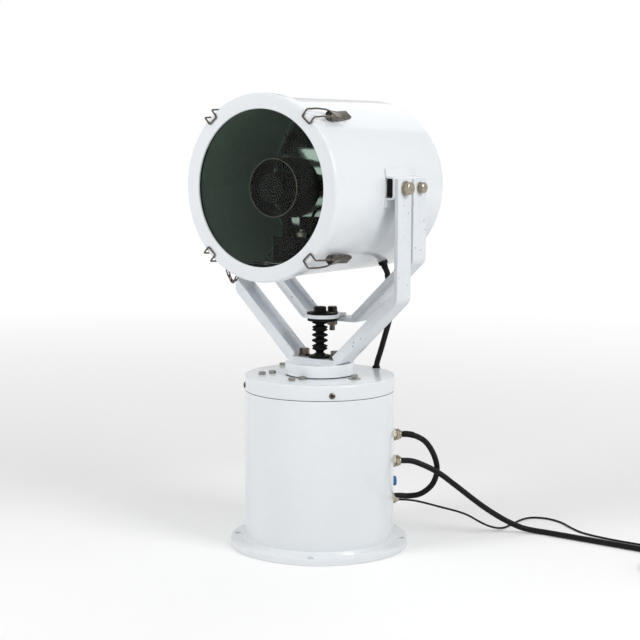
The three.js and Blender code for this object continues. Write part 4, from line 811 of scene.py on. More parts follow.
lidFasteners = {
    "top": 365.7,
    "rim": 160,
    "screwHeight": 345,
    "screwAngles": (45, 135, 225, 315),
    "screw": [(0, 0), (6.5, 0), (6.3, 1.4), (3.4, 2.9), (0, 3)],
    "screwBends": [0, 1, 2],
    "slot": ((-3.8, -0.9, 0.5), (3.8, 0.9, 4)),
    # cross: a black block at the bottom of each screw's cross recess, painted shade in the recess
    "cross": ((-3.8, -0.9, 0.4), (3.8, 0.9, 1.1)),
    "flats": 13,
    "washered": {"spot": (98.3, -12), "turn": 12, "height": 7.5, "washer": (13, 2)},
    "plain": {"spot": (-136.6, 48.9), "turn": 25, "height": 5.5},
    "bracketBolts": ((14.1, -81.9), (6.8, -108), (-85.8, -53.8), (-93.1, -80)),
    "cableFoot": (49, 143),
    "grommet": [(6.5, -1), (8.6, -1), (8.6, 2.2), (7.8, 4.4), (6.5, 5)],
}


def lidBolt(spot, turn, height, washer=(0, 0), lift=0):
    place = turnedPlace(uprightPlace(*spot, lidFasteners["top"] + lift), turn)
    return hexBolt(place, lidFasteners["flats"], height, washer)


def addLidFasteners():
    size = lidFasteners
    screws, crossShades = [], []
    for angle in size["screwAngles"]:
        place = wallPlace(angle, size["screwHeight"], size["rim"])
        slants = [turnedPlace(place, turn) for turn in (45, 135)]
        head = turned(roundedLine(size["screw"], size["screwBends"], 4), place, 40)
        screws.append(carved(head, [block(*size["slot"], slant) for slant in slants]))
        crossShades += [block(*size["cross"], slant) for slant in slants]
    finished(screws, "rimScrews", "dark_steel", "base")
    # painted shade: black blocks at the bottom of the screws' cross recesses
    finished(crossShades, "screwCrossShade", "black_paint", "base")
    bolts = [lidBolt(**size["washered"]), lidBolt(**size["plain"])]
    for number, spot in enumerate(size["bracketBolts"]):
        bolts.append(lidBolt(spot, 17 * number, size["plain"]["height"], lift=0.3))
    finished(bolts, "lidBolts", "steel", "base")
    grommet = softRing(size["grommet"], 0.6, uprightPlace(*size["cableFoot"], size["top"]), 40)
    finished(grommet, "cableGrommet", "black_rubber", "base")


addPedestal()
addLidFasteners()
print("pedestal made")

# Glands and fittings on the pedestal's wall; hexagons and bars as width or radius, and from and to
fittings = {
    "glands": (("controlGland", 45, 230, "control_gland"), ("powerGland", 45, 172, "power_gland"),
               ("returnGland", 60, 82.5, "return_gland")),
    "gasket": (13.6, 0, 1.2),
    "base": (24, 1.2, 7.5),
    "collar": (9.6, 7.4, 8.7),
    "nut": (21.6, 8.7, 15),
    "dome": [(6.4, 14.9), (10.4, 14.9), (10.2, 16.6), (8.9, 18.6), (6.4, 18.7)],
    "cap": [(0, 0), (10.6, 0), (10.6, 7.4), (9.2, 8.8), (5.8, 8.8), (5.4, 6), (0, 6)],
    "capBends": [0.8, 0.8, 0.6, 0.5, 0.5],
    "capGrips": {"count": 12, "reach": 11.4, "radius": 1.5, "low": -1, "high": 10, "start": 7},
    "capAt": (45, 128),
    "leadBase": (14, 0, 8),
    "leadTip": [(2.3, 7.9), (4.6, 7.9), (4.4, 12), (3.4, 15.2), (2.3, 15.3)],
    "leadAt": (45, 86),
}


def addGland(name, angle, height, node):
    size = fittings
    place = wallPlace(angle, height)
    gasket = bevelled(roundBar(*size["gasket"], place, 40), 0.3)
    base = hexPrism(*size["base"], turnedPlace(place, 9))
    collar = roundBar(*size["collar"], place)
    nut = hexPrism(*size["nut"], turnedPlace(place, 31))
    dome = softRing(size["dome"], 0.5, place, 40)
    finished([base, gasket, collar, nut, dome], name, "brass", "base", nodes=[node])


def addWallFittings():
    size = fittings
    for gland in size["glands"]:
        addGland(*gland)
    place = wallPlace(*size["capAt"])
    cap = turned(roundedLine(size["cap"], size["capBends"], 3), place, 48)
    carved(cap, barsAround(place, **size["capGrips"]))
    finished(cap, "portCap", "blue_plastic", "base", nodes=["port_plug"])
    place = wallPlace(*size["leadAt"])
    hexagon = hexPrism(*size["leadBase"], turnedPlace(place, 10))
    tip = softRing(size["leadTip"], 0.4, place, 32)
    finished([hexagon, tip], "leadFitting", "brass", "base", nodes=["lead_fitting"])


addWallFittings()
print("fittings made")

# Turntable and yoke
turntable = {
    "disc": [(20, 367.3), (73.7, 367.3), (73.7, 392.5), (20, 392.5)],
    # seal: a black rubber ring under the disc, also painted shade in the gap between disc and lid
    "seal": [(70, 365.7), (72.6, 365.7), (72.6, 367.4), (70, 367.4)],
    "steps": 144,
}
barShapes = {
    "yoke": {"arm": 206, "top": 783, "elbow": 534.5, "bend": 63.4, "middle": 396.8, "front": -25, "back": 25,
             "strip": [(63.4, 396.8), (206, 534.5), (204.5, 557.2), (49.4, 409), (56, 398)], "wall": 4.5},
    "tilt": {"arm": 206, "top": 782, "elbow": 613.2, "bend": 69.4, "middle": 481.3, "front": 33, "back": 83,
             "strip": [(69.4, 481.3), (206, 613.2), (204.5, 632.6), (57.1, 491.7), (62, 482)], "wall": 4.5},
    "bends": [16, 14, 14, 16],
    "thickness": 8,
}
yokeParts = {
    "drain": (58, -19, 403),
    "drainHole": (2.5, -6, 6),
    "shaftHole": (8, 385, 410),
    "weldAt": (26.2, 393.2),
    "weldHalf": 62,
    "weldStep": 2,
    "weldRadius": 1.7,
    "weldRough": (2.4, 3),
    "boltAt": (40.4, 0, 401.1),
    "bolt": {"flats": 19, "height": 14.5, "washer": (13, 2.5), "spring": 2.2},
}


def bentFrame(size):  # a flat bar bent into a U, with turned-in edges along its slopes
    arm, bend, middle = size["arm"], size["bend"], size["middle"]
    top, elbow = size["top"], size["elbow"]
    line = [(-arm, top), (-arm, elbow), (-bend, middle), (bend, middle), (arm, elbow), (arm, top)]
    rounded = roundedLine(line, barShapes["bends"], 5)
    frameBar = foldedSheet(rounded, -size["back"], -size["front"], barShapes["thickness"], frontPlace)
    strips = []
    for side in (-1, 1):
        outline = roundedLoop([(side * x, z) for x, z in size["strip"]], 3, 3)
        for edge in (size["front"], size["back"] - size["wall"]):
            strips.append(plate(outline, -edge - size["wall"], -edge, frontPlace))
    return frameBar, strips


def drainPlace(side):  # square to the yoke's slope
    x, y, z = yokeParts["drain"]
    return placeAt((side * x, y, z), (0, 1, 0), (0.7, 0, 0.7), (side * 0.7, 0, -0.7))


def addYoke():
    size = yokeParts
    steps = turntable["steps"]
    # black ring in the gap under the turntable disc: partly a real seal, partly painted shade in the gap
    seal = softRing(turntable["seal"], 0.2, steps=steps, arc=1)
    finished(seal, "turntableSealAndShade", "black_rubber", "pan_head")
    plateau = softRing(turntable["disc"], 1.6, steps=steps, arc=4)
    finished(plateau, "turntableDisc", "white_paint", "pan_head", nodes=["turntable"])
    yoke, strips = bentFrame(barShapes["yoke"])
    carved(yoke, strips, "UNION")
    drains = [roundBar(*size["drainHole"], drainPlace(side), 16) for side in (-1, 1)]
    carved(yoke, drains + [roundBar(*size["shaftHole"], groundPlace)])
    finished(yoke, "yokeFrame", "frame_paint", "pan_head", bevel=1.1, nodes=["yoke"])
    away, height = size["weldAt"]
    half, step = size["weldHalf"], size["weldStep"]
    beads = []
    for side in (-1, 1):
        line = [(x, side * away, height) for x in range(-half, half + 1, step)]
        bead = wire(line, size["weldRadius"], sides=3)
        beads.append(roughened(bead, *size["weldRough"]))
    finished(beads, "yokeWeld", "frame_paint", "pan_head", smooth=60)
    for side, name in bothSides:
        x, y, z = size["boltAt"]
        bolt = hexBolt(turnedPlace(uprightPlace(side * x, y, z), 14 * side), **size["bolt"])
        finished(bolt, "yokeBolt_" + name, "dark_steel", "pan_head", nodes=["yoke_bolt_" + name])


addYoke()
print("yoke made")

# Rubber bellows round the push rod
bellowsShape = {
    "bottom": 410.8,
    "top": 479,
    "wall": 1.2,
    "bore": 6.5,
    "waist": 8.4,
    "thinning": 0.08,  # how much thinner the rubber is at the tips of its folds
    "foot": [(6.6, 401.1), (24, 401.1), (24, 406.1), (12.4, 406.3), (11.6, 410.5), (6.6, 410.5)],
    "line": [(8.4, 410.8), (8.6, 413.2), (8.4, 415.4), (12.8, 417.6), (16.4, 419), (16.9, 420.6),
             (14.4, 422.2), (14.4, 423.8), (17.3, 425.4), (16.6, 427.2), (12, 428.8), (8.5, 430.4),
             (8.5, 432.2), (12.4, 434.2), (17, 436), (17.3, 437.7), (16.8, 439.4), (12, 441.2),
             (8.4, 442.8), (8.4, 444.2), (12.4, 446), (17, 447.8), (17.3, 449.4), (16.8, 451),
             (12, 452.8), (8.5, 454.2), (8.5, 455.8), (12.4, 457.8), (16.5, 459.4), (16.9, 461),
             (14.2, 462.6), (14.2, 464), (17.3, 465.6), (16.4, 467.4), (12, 469), (8.5, 470.4),
             (8.5, 471.8), (12.4, 473.4), (17, 474.8), (17.2, 476.2), (15, 477.6), (11, 478.6),
             (8.4, 479)],
}


def addBellows():
    size = bellowsShape
    inner = []
    for radius, height in reversed(size["line"]):
        wall = size["wall"] + (radius - size["waist"]) * size["thinning"]
        inner.append((max(size["bore"], radius - wall), height))
    sleeve = turned(size["line"] + inner, steps=72)
    soften = sleeve.modifiers.new("soft", "SUBSURF")
    soften.levels = soften.render_levels = 1
    applyModifiers(sleeve)
    selectOnly(sleeve)
    bpy.ops.object.shade_smooth_by_angle(angle=math.radians(60))
    sleeve.name = sleeve.data.name = "rubberBellows"
    sleeve.data.materials.append(finishes["black_rubber"])
    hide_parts("bellows")
    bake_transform(sleeve)
    foot = softRing(size["foot"], 0.8, steps=72, arc=3)
    finished(foot, "bellowsFoot", "black_rubber", "pan_head", nodes=["bellows_flange"])


addBellows()
print("bellows made")

# Tilt frame and what the push rod lifts it by
tiltParts = {
    "slot": (52.6, 56, 6.75),  # from, to and half its width, behind the tilt axis
    "slotCut": (195, 215),
    "hole": 6.3,
    "holeCut": (470, 492),
    "over": 5,
    "boltAt": 45,
    "centre": 9,
    "plateRadius": 35.5,
    "plateEnd": (25, 62),
    "plate": (485.6, 493.6),
    "pad": (33, 493.9, 496.9),
    "padNotch": 12.5,
    "padCut": 510,
    "screwAt": 24,
    "screw": [(0, 0), (2.5, 0), (2.3, 0.7), (1.4, 1), (0, 1)],
    "screwSlot": ((-2, -0.35, 0.5), (2, 0.35, 2)),
    "clamp": (32, 479.3, 485.3),
    "clampCut": ((-40, 32.7, 470), (40, 60, 495)),
    "clampBore": (10.3, 470, 495),
    "rod": (6, 412, 509.9),
    "collar": (10, 479.3, 485.3),
    "washer": (18, 497.2, 498.7),
    "washerNotch": (12.3, 490, 505),
    "rodNut": (24, 498.7, 510.2),
    "bolt": {"flats": 19, "height": 10.5, "washer": (12, 2.5), "shank": (6, 38.9)},
    "boltNut": (19, 467, 477),
}


def addTiltFrame():
    size = tiltParts
    frameBar, strips = bentFrame(barShapes["tilt"])
    near, far, half = size["slot"]
    slots = []
    for side in (-1, 1):
        ring = [onCircle(half, turn) + Vector((far, 0, 0)) for turn in range(-90, 91, 15)]
        ring += [onCircle(half, turn) + Vector((near, 0, 0)) for turn in range(90, 271, 15)]
        outline = [(side * spot.x, spot.y) for spot in ring]
        slots.append(plate(outline, *size["slotCut"], sidePlace(side, 0)))
    slots.append(roundBar(size["hole"], *size["holeCut"], uprightPlace(0, size["boltAt"], 0)))
    carved(frameBar, slots)
    parts = [frameBar, *strips]
    finished(parts, "tiltFrame", "frame_paint", "tilt_frame", bevel=1.1, nodes=["tilt_bracket"])


def addLiftPlate():
    size = tiltParts
    atBolt, atCentre = uprightPlace(0, size["boltAt"], 0), uprightPlace(0, size["centre"], 0)
    low, high = size["plate"]
    middle = Vector((0, size["centre"], 0))
    arc = [tuple((onCircle(size["plateRadius"], angle) + middle).xy) for angle in range(135, 406, 9)]
    aside, back = size["plateEnd"]
    lug = plate(arc + [(aside, back), (-aside, back)], low, high)
    under, above = low - size["over"], high + size["over"]
    carved(lug, [roundBar(size["hole"], under, above, place) for place in (groundPlace, atBolt)])
    finished(lug, "liftPlate", "white_paint", "tilt_frame", bevel=0.9, nodes=["lug_plate"])
    disc = roundBar(*size["pad"], atCentre, 72)
    padTop = size["padCut"]
    carved(disc, [roundBar(size["hole"], low, padTop, groundPlace),
                  roundBar(size["padNotch"], low, padTop, atBolt, 40)])
    finished(disc, "rubberPad", "black_rubber", "tilt_frame", bevel=0.7, nodes=["lug_pad"])
    screws = []
    for side in (-1, 1):
        place = uprightPlace(side * size["screwAt"], size["centre"], size["pad"][2])
        screws.append(carved(turned(size["screw"], place, 24), [block(*size["screwSlot"], place)]))
    finished(screws, "padScrews", "steel", "tilt_frame")
    clamp = roundBar(*size["clamp"], atCentre, 72)
    carved(clamp, [block(*size["clampCut"]), roundBar(*size["clampBore"], groundPlace)])
    finished(clamp, "bellowsClamp", "black_paint", "tilt_frame", bevel=0.7, nodes=["bellows_clamp"])


def addLiftRod():
    size = tiltParts
    atBolt = uprightPlace(0, size["boltAt"], 0)
    rod = roundBar(*size["rod"], groundPlace)
    collar = bevelled(roundBar(*size["collar"], groundPlace, 40), 0.4)
    washer = roundBar(*size["washer"], groundPlace, 56)
    carved(washer, [roundBar(*size["washerNotch"], atBolt, 40)])
    nut = hexPrism(*size["rodNut"], turnedPlace(groundPlace, 20))
    parts = [rod, collar, bevelled(washer, 0.3), nut]
    finished(parts, "liftRod", "black_paint", "tilt_frame", nodes=["push_rod"])
    head = hexBolt(turnedPlace(uprightPlace(0, size["boltAt"], size["pad"][1]), 15), **size["bolt"])
    nut = hexPrism(*size["boltNut"], turnedPlace(atBolt, 35))
    finished([head, nut], "liftBolt", "dark_steel", "tilt_frame", nodes=["lug_bolt"])


addTiltFrame()
addLiftPlate()
addLiftRod()
print("tilt frame made")

# Lamp drum and its brackets, as distances out from the lamp's axis and forward from the tilt axis
drumShape = {
    "steps": 180,
    "radius": 181,
    "wall": 3,
    "back": -205,
    "front": 193,
    "edge": 15,
    "lining": [(177.75, -59), (177.95, -59), (177.95, 192.9), (177.75, 192.9)],
    "band": [(180.5, 152), (182.2, 152.8), (182.2, 191), (180.5, 192)],
    # the black block in each hat bracket's hollow: a pivot boss, and painted shade filling the hollow
    "bossAndShadeOut": (181.5, 197.2),
    "bossAndShadeHalf": (17, 23),
    "hatLine": [(178.7, 39.5), (182, 21.5), (199.5, 21), (199.5, -21), (182, -21.5), (178.7, -39.5)],
    "hatBends": [3.5, 5, 5, 3.5],
    "hatFrom": -85,
    "hatTo": 27,
    "hatWall": 4,
    "lugLine": [(133, 180.2), (133, 186), (136, 191.5), (144, 191.5), (147, 186), (147, 180.2)],
    "lugBends": [2, 4, 4, 2],
    "lugHalf": 4.6,
    "glandAngle": -63.7,
    "glandBehind": 118,
    "glandHex": (20, -1, 6),
    "glandDome": [(5.8, 5.9), (7, 5.9), (7, 12), (6.4, 15.8), (5.8, 16)],
}
latchAngles = (49, 131, -47.5, -133)
alongRim = Matrix(((0, 1, 0, 0), (0, 0, 1, 0), (1, 0, 0, 0), (0, 0, 0, 1)))  # forward, out and along the rim
outOfDrum = alongRim.transposed()  # a fitting's z points out of the drum


def addDrum():
    size = drumShape
    radius, wall, back, front, edge = (size[key] for key in ("radius", "wall", "back", "front", "edge"))
    outer = roundedLine([(0, back), (radius, back), (radius, front)], [edge], 8)
    inside = radius - wall
    inner = roundedLine([(inside, front), (inside, back + wall), (0, back + wall)], [edge - wall], 8)
    shell = turned(outer + inner, lampPlace, size["steps"])
    finished(shell, "lampDrum", "white_paint", "lamp_head", nodes=["drum_shell"])
    finished(turned(size["lining"], lampPlace, size["steps"]), "drumLining", "drum_lining", "lamp_head")
    # black blocks in the hat brackets' hollows: pivot bosses, and painted shade inside the hollows
    high, deep = size["bossAndShadeHalf"]
    for side, name in bothSides:
        near, far = sorted(side * out for out in size["bossAndShadeOut"])
        boss = block((near, -high, -deep), (far, high, deep), lampPlace)
        finished(boss, "pivotBossAndShade_" + name, "black_paint", "lamp_head", bevel=1.5)
    finished(turned(size["band"], lampPlace, size["steps"]), "drumBand", "white_paint", "lamp_head")
    for side, name in bothSides:
        line = roundedLine([(side * x, y) for x, y in size["hatLine"]], size["hatBends"], 5)
        hat = foldedSheet(line, size["hatFrom"], size["hatTo"], size["hatWall"], lampPlace)
        finished(hat, "hatBracket_" + name, "white_paint", "lamp_head", bevel=0.9)


def addDrumFittings():
    size = drumShape
    outline = roundedLine(size["lugLine"], size["lugBends"], 4)
    places = [turnedPlace(lampPlace, angle) @ alongRim for angle in latchAngles]
    lugs = [plate(outline, -size["lugHalf"], size["lugHalf"], place) for place in places]
    finished(lugs, "latchLugs", "dark_steel", "lamp_head", bevel=0.4)
    place = turnedPlace(lampPlace, size["glandAngle"])
    place = moved(place, size["radius"], z=-size["glandBehind"]) @ outOfDrum
    hexagon = hexPrism(*size["glandHex"], place)
    dome = softRing(size["glandDome"], 0.4, place, 32)
    finished([hexagon, dome], "drumGland", "black_paint", "lamp_head")


frontShape = {
    "bezelLip": [(157, 204.6), (157, 207.8), (157.8, 208.6)],
    "bezelFace": [(158, 208.6), (188, 208.6), (188, 180)],
    "bezelBend": 4.2,
    "bezelSkirt": [(188, 184.2), (187.4, 183.5), (184.5, 183.5), (184.5, 204.6)],
    "pane": [(0, 198.3), (168, 198.3), (168, 204.3), (0, 204.3)],
    "seal": [(160, 193.3), (184.2, 193.3), (184.2, 204.3), (168.3, 204.3), (168.3, 198), (160, 198)],
}


def addFront():
    size = frontShape
    face = roundedLine(size["bezelFace"], [size["bezelBend"]], 6)[1:-1]
    ring = turned(size["bezelLip"] + face + size["bezelSkirt"], lampPlace, 192)
    finished(ring, "frontBezel", "white_paint", "lamp_head", nodes=["front_bezel"])
    pane = turned(size["pane"], lampPlace, 144)
    finished(pane, "frontGlass", "tinted_glass", "lamp_head", bevel=0.5, nodes=["front_glass"])
    seal = softRing(size["seal"], 0.5, lampPlace, 144)
    finished(seal, "glassSeal", "black_rubber", "lamp_head", nodes=["glass_seal"])


# Behind the glass: the mirror's bowl, the bulb in its holder and the glare ring
optics = {
    "steps": 144,
    "bowl": (14, 172),
    "bowlSteps": 24,
    "bowlBottom": -140,
    "focus": 92.4,
    "bowlWall": 2.5,
    "bowlRim": (177.7, 3),
    "rimScrew": [(0, 0), (2.9, 0), (2.9, 2.2), (0, 3)],
    "rimScrews": (174.8, 15),
    "clip": ((167.5, -4, 100), (177.5, 4, 172)),
    "clipAngles": (20, 62, -20),
    "bulb": [(0, -165), (8.4, -165), (9, -164), (9, -120.6), (8.4, -120), (7, -120), (7, -82),
             (8.5, -79), (13, -73), (18, -64), (21.3, -55), (22, -47.6), (21.3, -40), (18, -31),
             (13, -22), (8.5, -16), (7, -13), (7, 40), (10.4, 40), (11, 40.6), (11, 119), (10.4, 119.7),
             (0, 119.7)],
    "cap": [(11.3, 105), (25, 105), (29.5, 120), (29.5, 170), (4, 170), (4, 166), (24, 166), (24, 122),
            (11.3, 120)],
    "disc": (24.3, 121, 163),
    "post": ((-6, -94.7, 117), (6, -25, 129)),
    "ring": [(56, 103), (58, 103), (58, 163), (56, 163)],
    "hub": [(29.8, 135), (32, 135), (32, 150), (29.8, 150)],
    "arm": ((31.5, -1.5, 137), (56.6, 1.5, 148)),
    "notch": ((-6.6, -66, 99), (6.6, -50, 130)),
    "rim": [(56.2, 162.6), (58, 162.6), (58, 163.4), (56.2, 163.4)],
}


def bowlHeight(radius):
    return optics["bowlBottom"] + radius * radius / (4 * optics["focus"])


def addMirror():
    size = optics
    first, last = size["bowl"]
    bowl = []
    for step in range(size["bowlSteps"] + 1):
        radius = first + (last - first) * step / size["bowlSteps"]
        bowl.append((radius, bowlHeight(radius)))
    edge, thick = size["bowlRim"]
    rimAt = bowlHeight(last)
    rim = [(edge, rimAt), (edge, rimAt - thick), (last, rimAt - thick)]
    back = [(radius, depth - size["bowlWall"]) for radius, depth in reversed(bowl[:-1])]
    mirror = turned(bowl + rim + back, lampPlace, size["steps"])
    finished(mirror, "parabolicMirror", "mirror", "lamp_head", nodes=["reflector"])


def addMirrorScrews():
    reach, apart = optics["rimScrews"]
    line = roundedLine(optics["rimScrew"], [0.8, 0.5], 2)
    spots = [onCircle(reach, angle, bowlHeight(optics["bowl"][1])) for angle in range(0, 360, apart)]
    screws = [turned(line, moved(lampPlace, *spot), 16) for spot in spots]
    finished(screws, "mirrorScrews", "steel", "lamp_head")


def addMirrorClips():
    clips = [block(*optics["clip"], turnedPlace(lampPlace, angle)) for angle in optics["clipAngles"]]
    finished(clips, "mirrorClips", "steel", "lamp_head", bevel=0.8)


def addBulb():
    size = optics
    finished(turned(size["bulb"], lampPlace, 64), "xenonBulb", "quartz", "lamp_head", nodes=["xenon_lamp"])
    cap = softRing(size["cap"], 1, lampPlace)
    holder = [cap, roundBar(*size["disc"], lampPlace, 64), block(*size["post"], lampPlace)]
    finished(holder, "bulbHolder", "black_paint", "lamp_head", nodes=["lamp_holder"])
    outer = turned(size["ring"], lampPlace, size["steps"])
    hub = turned(size["hub"], lampPlace, 72)
    arms = [block(*size["arm"], turnedPlace(lampPlace, angle)) for angle in (90, 210, 330)]
    carved(outer, [block(*size["notch"], lampPlace)])
    finished([outer, hub, *arms], "glareRing", "black_paint", "lamp_head", bevel=0.4, nodes=["glare_shield"])
    finished(turned(size["rim"], lampPlace, size["steps"]), "glareRim", "dark_steel", "lamp_head")


# Boxes, tray and leads under the bulb; what stands on a box is turned upright
electrics = {
    "igniter": ((-24.5, -143.7, 72), (24.5, -95, 132)),
    "footCorners": [(x, z) for x in (-24.5, 16.5) for z in (72, 124)],
    "foot": (8, -151.7, -143.6),
    "ribs": 7,
    "rib": ((-23, -140, 131.5), (23, -137.5, 133)),
    "ribStep": 6,
    "boxes": (((-34, -151.7, 20), (34, -91, 60)), ((-28, -91.2, 24), (28, -57, 56))),
    "tray": [(-75, -160), (75, -160), (92, -152), (-92, -152)],
    "trayFrom": -50,
    "trayTo": 150,
    "lip": ((-62, -150, 150.2), (62, -147.2, 151.8)),
    "rod": [(-46, -144, 126), (-43, -137, 126), (-31, -121, 127), (-26, -111, 127)],
    "rodRadius": 1.5,
    "standAt": (-46, 0, 126),
    "stand": [(0, -151.7), (5, -151.7), (5, -150), (3.6, -149.4), (4.6, -148.6), (3.4, -147.8), (4.2, -147),
              (3, -146), (0, -145)],
    "knobAt": (24, -95, 110),
    "knob": [(0, 0), (8.5, 0), (8.5, 9), (5, 11), (5, 15), (0, 15)],
    "knobGrips": {"count": 15, "reach": 8.9, "radius": 0.9, "low": -1, "high": 9.6, "steps": 8},
    "leads": [[(24, -82, 110), (30, -70, 116), (26, -52, 120), (12, -40, 122), (4, -34, 122)],
              [(-10, -95, 90), (-14, -74, 92), (-10, -50, 104), (-4, -34, 108)],
              [(10, -57, 40), (18, -40, 52), (24, -44, 74), (22, -70, 88), (14, -95, 92)]],
    "leadRadius": 2.4,
}


def standing(spot):  # z points up from a spot inside the lamp
    return turnedPlace(moved(lampPlace, *spot), -90, "X")


def addBoxes():
    size = electrics
    side, under, over = size["foot"]
    parts = [block(*size["igniter"], lampPlace)]
    for x, z in size["footCorners"]:
        parts.append(block((x, under, z), (x + side, over, z + side), lampPlace))
    for number in range(size["ribs"]):
        parts.append(block(*size["rib"], moved(lampPlace, y=size["ribStep"] * number)))
    finished(parts, "igniterBox", "black_paint", "lamp_head", bevel=0.8, nodes=["igniter_box"])
    boxes = [block(*corners, lampPlace) for corners in size["boxes"]]
    finished(boxes, "junctionBox", "black_paint", "lamp_head", bevel=1, nodes=["junction_box"])
    tray = plate(size["tray"], size["trayFrom"], size["trayTo"], lampPlace)
    finished(tray, "lampTray", "black_paint", "lamp_head", bevel=0.6, nodes=["lamp_tray"])


def addSmallElectrics():
    size = electrics
    lip = bevelled(block(*size["lip"], lampPlace), 0.4)
    rod = wire(smoothRoute(size["rod"], 12), size["rodRadius"], lampPlace, sides=3)
    finished([lip, rod], "startRod", "steel", "lamp_head", smooth=50)
    stand = turned(size["stand"], standing(size["standAt"]), 24)
    finished(stand, "rodInsulator", "white_paint", "lamp_head")
    place = standing(size["knobAt"])
    knob = turned(roundedLine(size["knob"], [1, 1, 1, 1], 3), place, 40)
    finished(carved(knob, barsAround(place, **size["knobGrips"])), "brassTerminal", "brass", "lamp_head")
    leads = [wire(smoothRoute(route, 24), size["leadRadius"], lampPlace, sides=3) for route in size["leads"]]
    finished(leads, "lampLeads", "black_rubber", "lamp_head", smooth=60)


addDrum()
addDrumFittings()
addFront()
addMirror()
addBulb()
addMirrorScrews()
addBoxes()
addSmallElectrics()
addMirrorClips()
print("lamp drum made")

# Bolts on the tilt axis and behind it: each with how far forward it is, and how far it is turned
sideBolts = {
    "seat": 210.3,
    "pivot": (0, 12, {"flats": 24, "height": 13, "washer": (15, 3), "shank": (8, 18)}),
    "tilt": (-56, 28, {"flats": 19, "height": 10.5, "washer": (12, 2.5), "shank": (6, 18)}),
}


def addSideBolts():
    for side, name in bothSides:
        for kind in ("pivot", "tilt"):
            forward, turn, bolt = sideBolts[kind]
            place = moved(sidePlace(side, forward), z=sideBolts["seat"])
            head = hexBolt(turnedPlace(place, turn), **bolt)
            finished(head, kind + "Bolt_" + name, "brass", "lamp_head", nodes=[kind + "_bolt_" + name])


addSideBolts()

# Over-centre latches: the flat parts as (forward, out), the bail as (out, along the rim, forward)
latchShape = {
    "side": [(82, 190.5), (84, 195.6), (96, 194.4), (112, 193.2), (126, 194.8), (137, 195.8),
             (141.5, 195.2), (144.6, 191), (144.6, 186), (141, 184.2), (133, 184.2), (129, 186.6),
             (122, 186.2), (118, 184.4), (104, 186), (92, 187.6)],
    "roof": [(82.6, 195.2), (96, 193.7), (112, 192.5), (126, 194), (137, 195.1), (140.5, 194.9)],
    "bail": [(191, -11.75, 128), (196, -11.75, 150), (197.5, -11.75, 180), (195.5, -11.75, 210.6),
             (177, -11.75, 210.6), (177, 11.75, 210.6), (195.5, 11.75, 210.6), (197.5, 11.75, 180),
             (196, 11.75, 150), (191, 11.75, 128)],
    "bailRadius": 1.8,
    "bailBend": 3.5,
    "cheeks": (-9.7, 7.9),
    "cheekWall": 1.8,
    "pivot": (108, 189.6),
    "pivotHole": (2.1, -2, 4),
    "axle": (128, 190.2),
    "axleSize": (1.7, -10.6, 10.6),
    "roofHalf": 9.2,
    "roofWall": 1.4,
    "notches": ((195, 0, 141.5), (195, -9.6, 121), (195, 9.6, 121)),
    "notch": (3.2, -12, 12),
    "tip": (140, 187),
    "tipSize": (2, -9.9, 9.9),
    "bailEye": (128, 191),
    "bailEnds": ((1.5, 5.6, 12.9), (1.5, -12.9, -5.6)),
}


def roundedWire(points, radius, steps=5):
    line = [Vector(points[0])]
    for before, corner, after in zip(points, points[1:], points[2:]):
        before, corner, after = Vector(before), Vector(corner), Vector(after)
        start = corner + (before - corner).normalized() * radius
        end = corner + (after - corner).normalized() * radius
        for step in range(steps + 1):
            share = step / steps
            line.append(start.lerp(corner, share).lerp(corner.lerp(end, share), share))
    return line + [Vector(points[-1])]


def smoothLine(points):
    return [tuple(spot.xy) for spot in smoothRoute([(x, y, 0) for x, y in points], 20)]


def addLatch(number, angle):
    size = latchShape
    place = turnedPlace(lampPlace, angle)
    flat = place @ alongRim
    end, leverBody = "_" + str(number), "lever_" + str(number)
    pivot, axle, eye = (moved(flat, *size[spot]) for spot in ("pivot", "axle", "bailEye"))
    cheeks = []
    hole, under, above = size["pivotHole"]
    for low in size["cheeks"]:
        cheek = plate(roundedLoop(size["side"], 0.8, 2), low, low + size["cheekWall"], flat)
        cheeks.append(carved(cheek, [roundBar(hole, low + under, low + above, pivot, 24)]))
    roof = foldedSheet(smoothLine(size["roof"]), -size["roofHalf"], size["roofHalf"], size["roofWall"], flat)
    tip = roundBar(*size["tipSize"], moved(flat, *size["tip"]), 24)
    notches = [turnedPlace(moved(place, *spot), 90, "Y") for spot in size["notches"]]
    carved(roof, [roundBar(*size["notch"], notch, 20) for notch in notches])
    lever = joinedUp(*cheeks, roof, tip)
    pins = [bevelled(roundBar(*size["axleSize"], spot, 20), 0.4) for spot in (axle, pivot)]
    finished(pins, "latchPins" + end, "steel", leverBody)
    finished(lever, "latchLever" + end, "dark_steel", leverBody, bevel=0.35, nodes=["latch_lever" + end])
    bail = wire(roundedWire(size["bail"], size["bailBend"]), size["bailRadius"], place, sides=3)
    parts = [bail] + [roundBar(*bar, eye, 16) for bar in size["bailEnds"]]
    finished(parts, "latchBail" + end, "dark_steel", "bail" + end, smooth=60, nodes=["latch_bail" + end])


for number, angle in enumerate(latchAngles):
    addLatch(number + 1, angle)
print("latches made")

# Safety chain: links from the drum's rim, hanging in a V
chainShape = {
    "reach": 190.9,
    "first": -119,
    "last": -110,
    "forward": 196,
    "links": 5,
    "half": 3.6,
    "narrow": 0.78,
    "overlap": 1.6,
    "wire": 1.45,
    "wireTurn": 20,
    "atMiddle": 0.01,
    "fullness": 1.6,
    "hang": 0.62,
    "tab": ((180.5, -3, 193.8), (191.6, 3, 195.4)),
}


def chainLink(start, end, flat):
    size = chainShape
    along = (end - start).normalized()
    across = along.cross(Vector((0, 0, 1))).normalized() if flat else Vector((0, 0, 1))
    stretch = max(0, (end - start).length / 2 + size["overlap"] - size["half"])
    loop = []
    for turn in range(0, 360, size["wireTurn"]):
        spot = onCircle(size["half"], turn)
        way = 0 if abs(spot.x) <= size["atMiddle"] else math.copysign(1, spot.x)
        loop.append((start + end) / 2 + along * (spot.x + stretch * way) + across * spot.y * size["narrow"])
    return wire(loop, size["wire"], lampPlace, closed=True, sides=2)


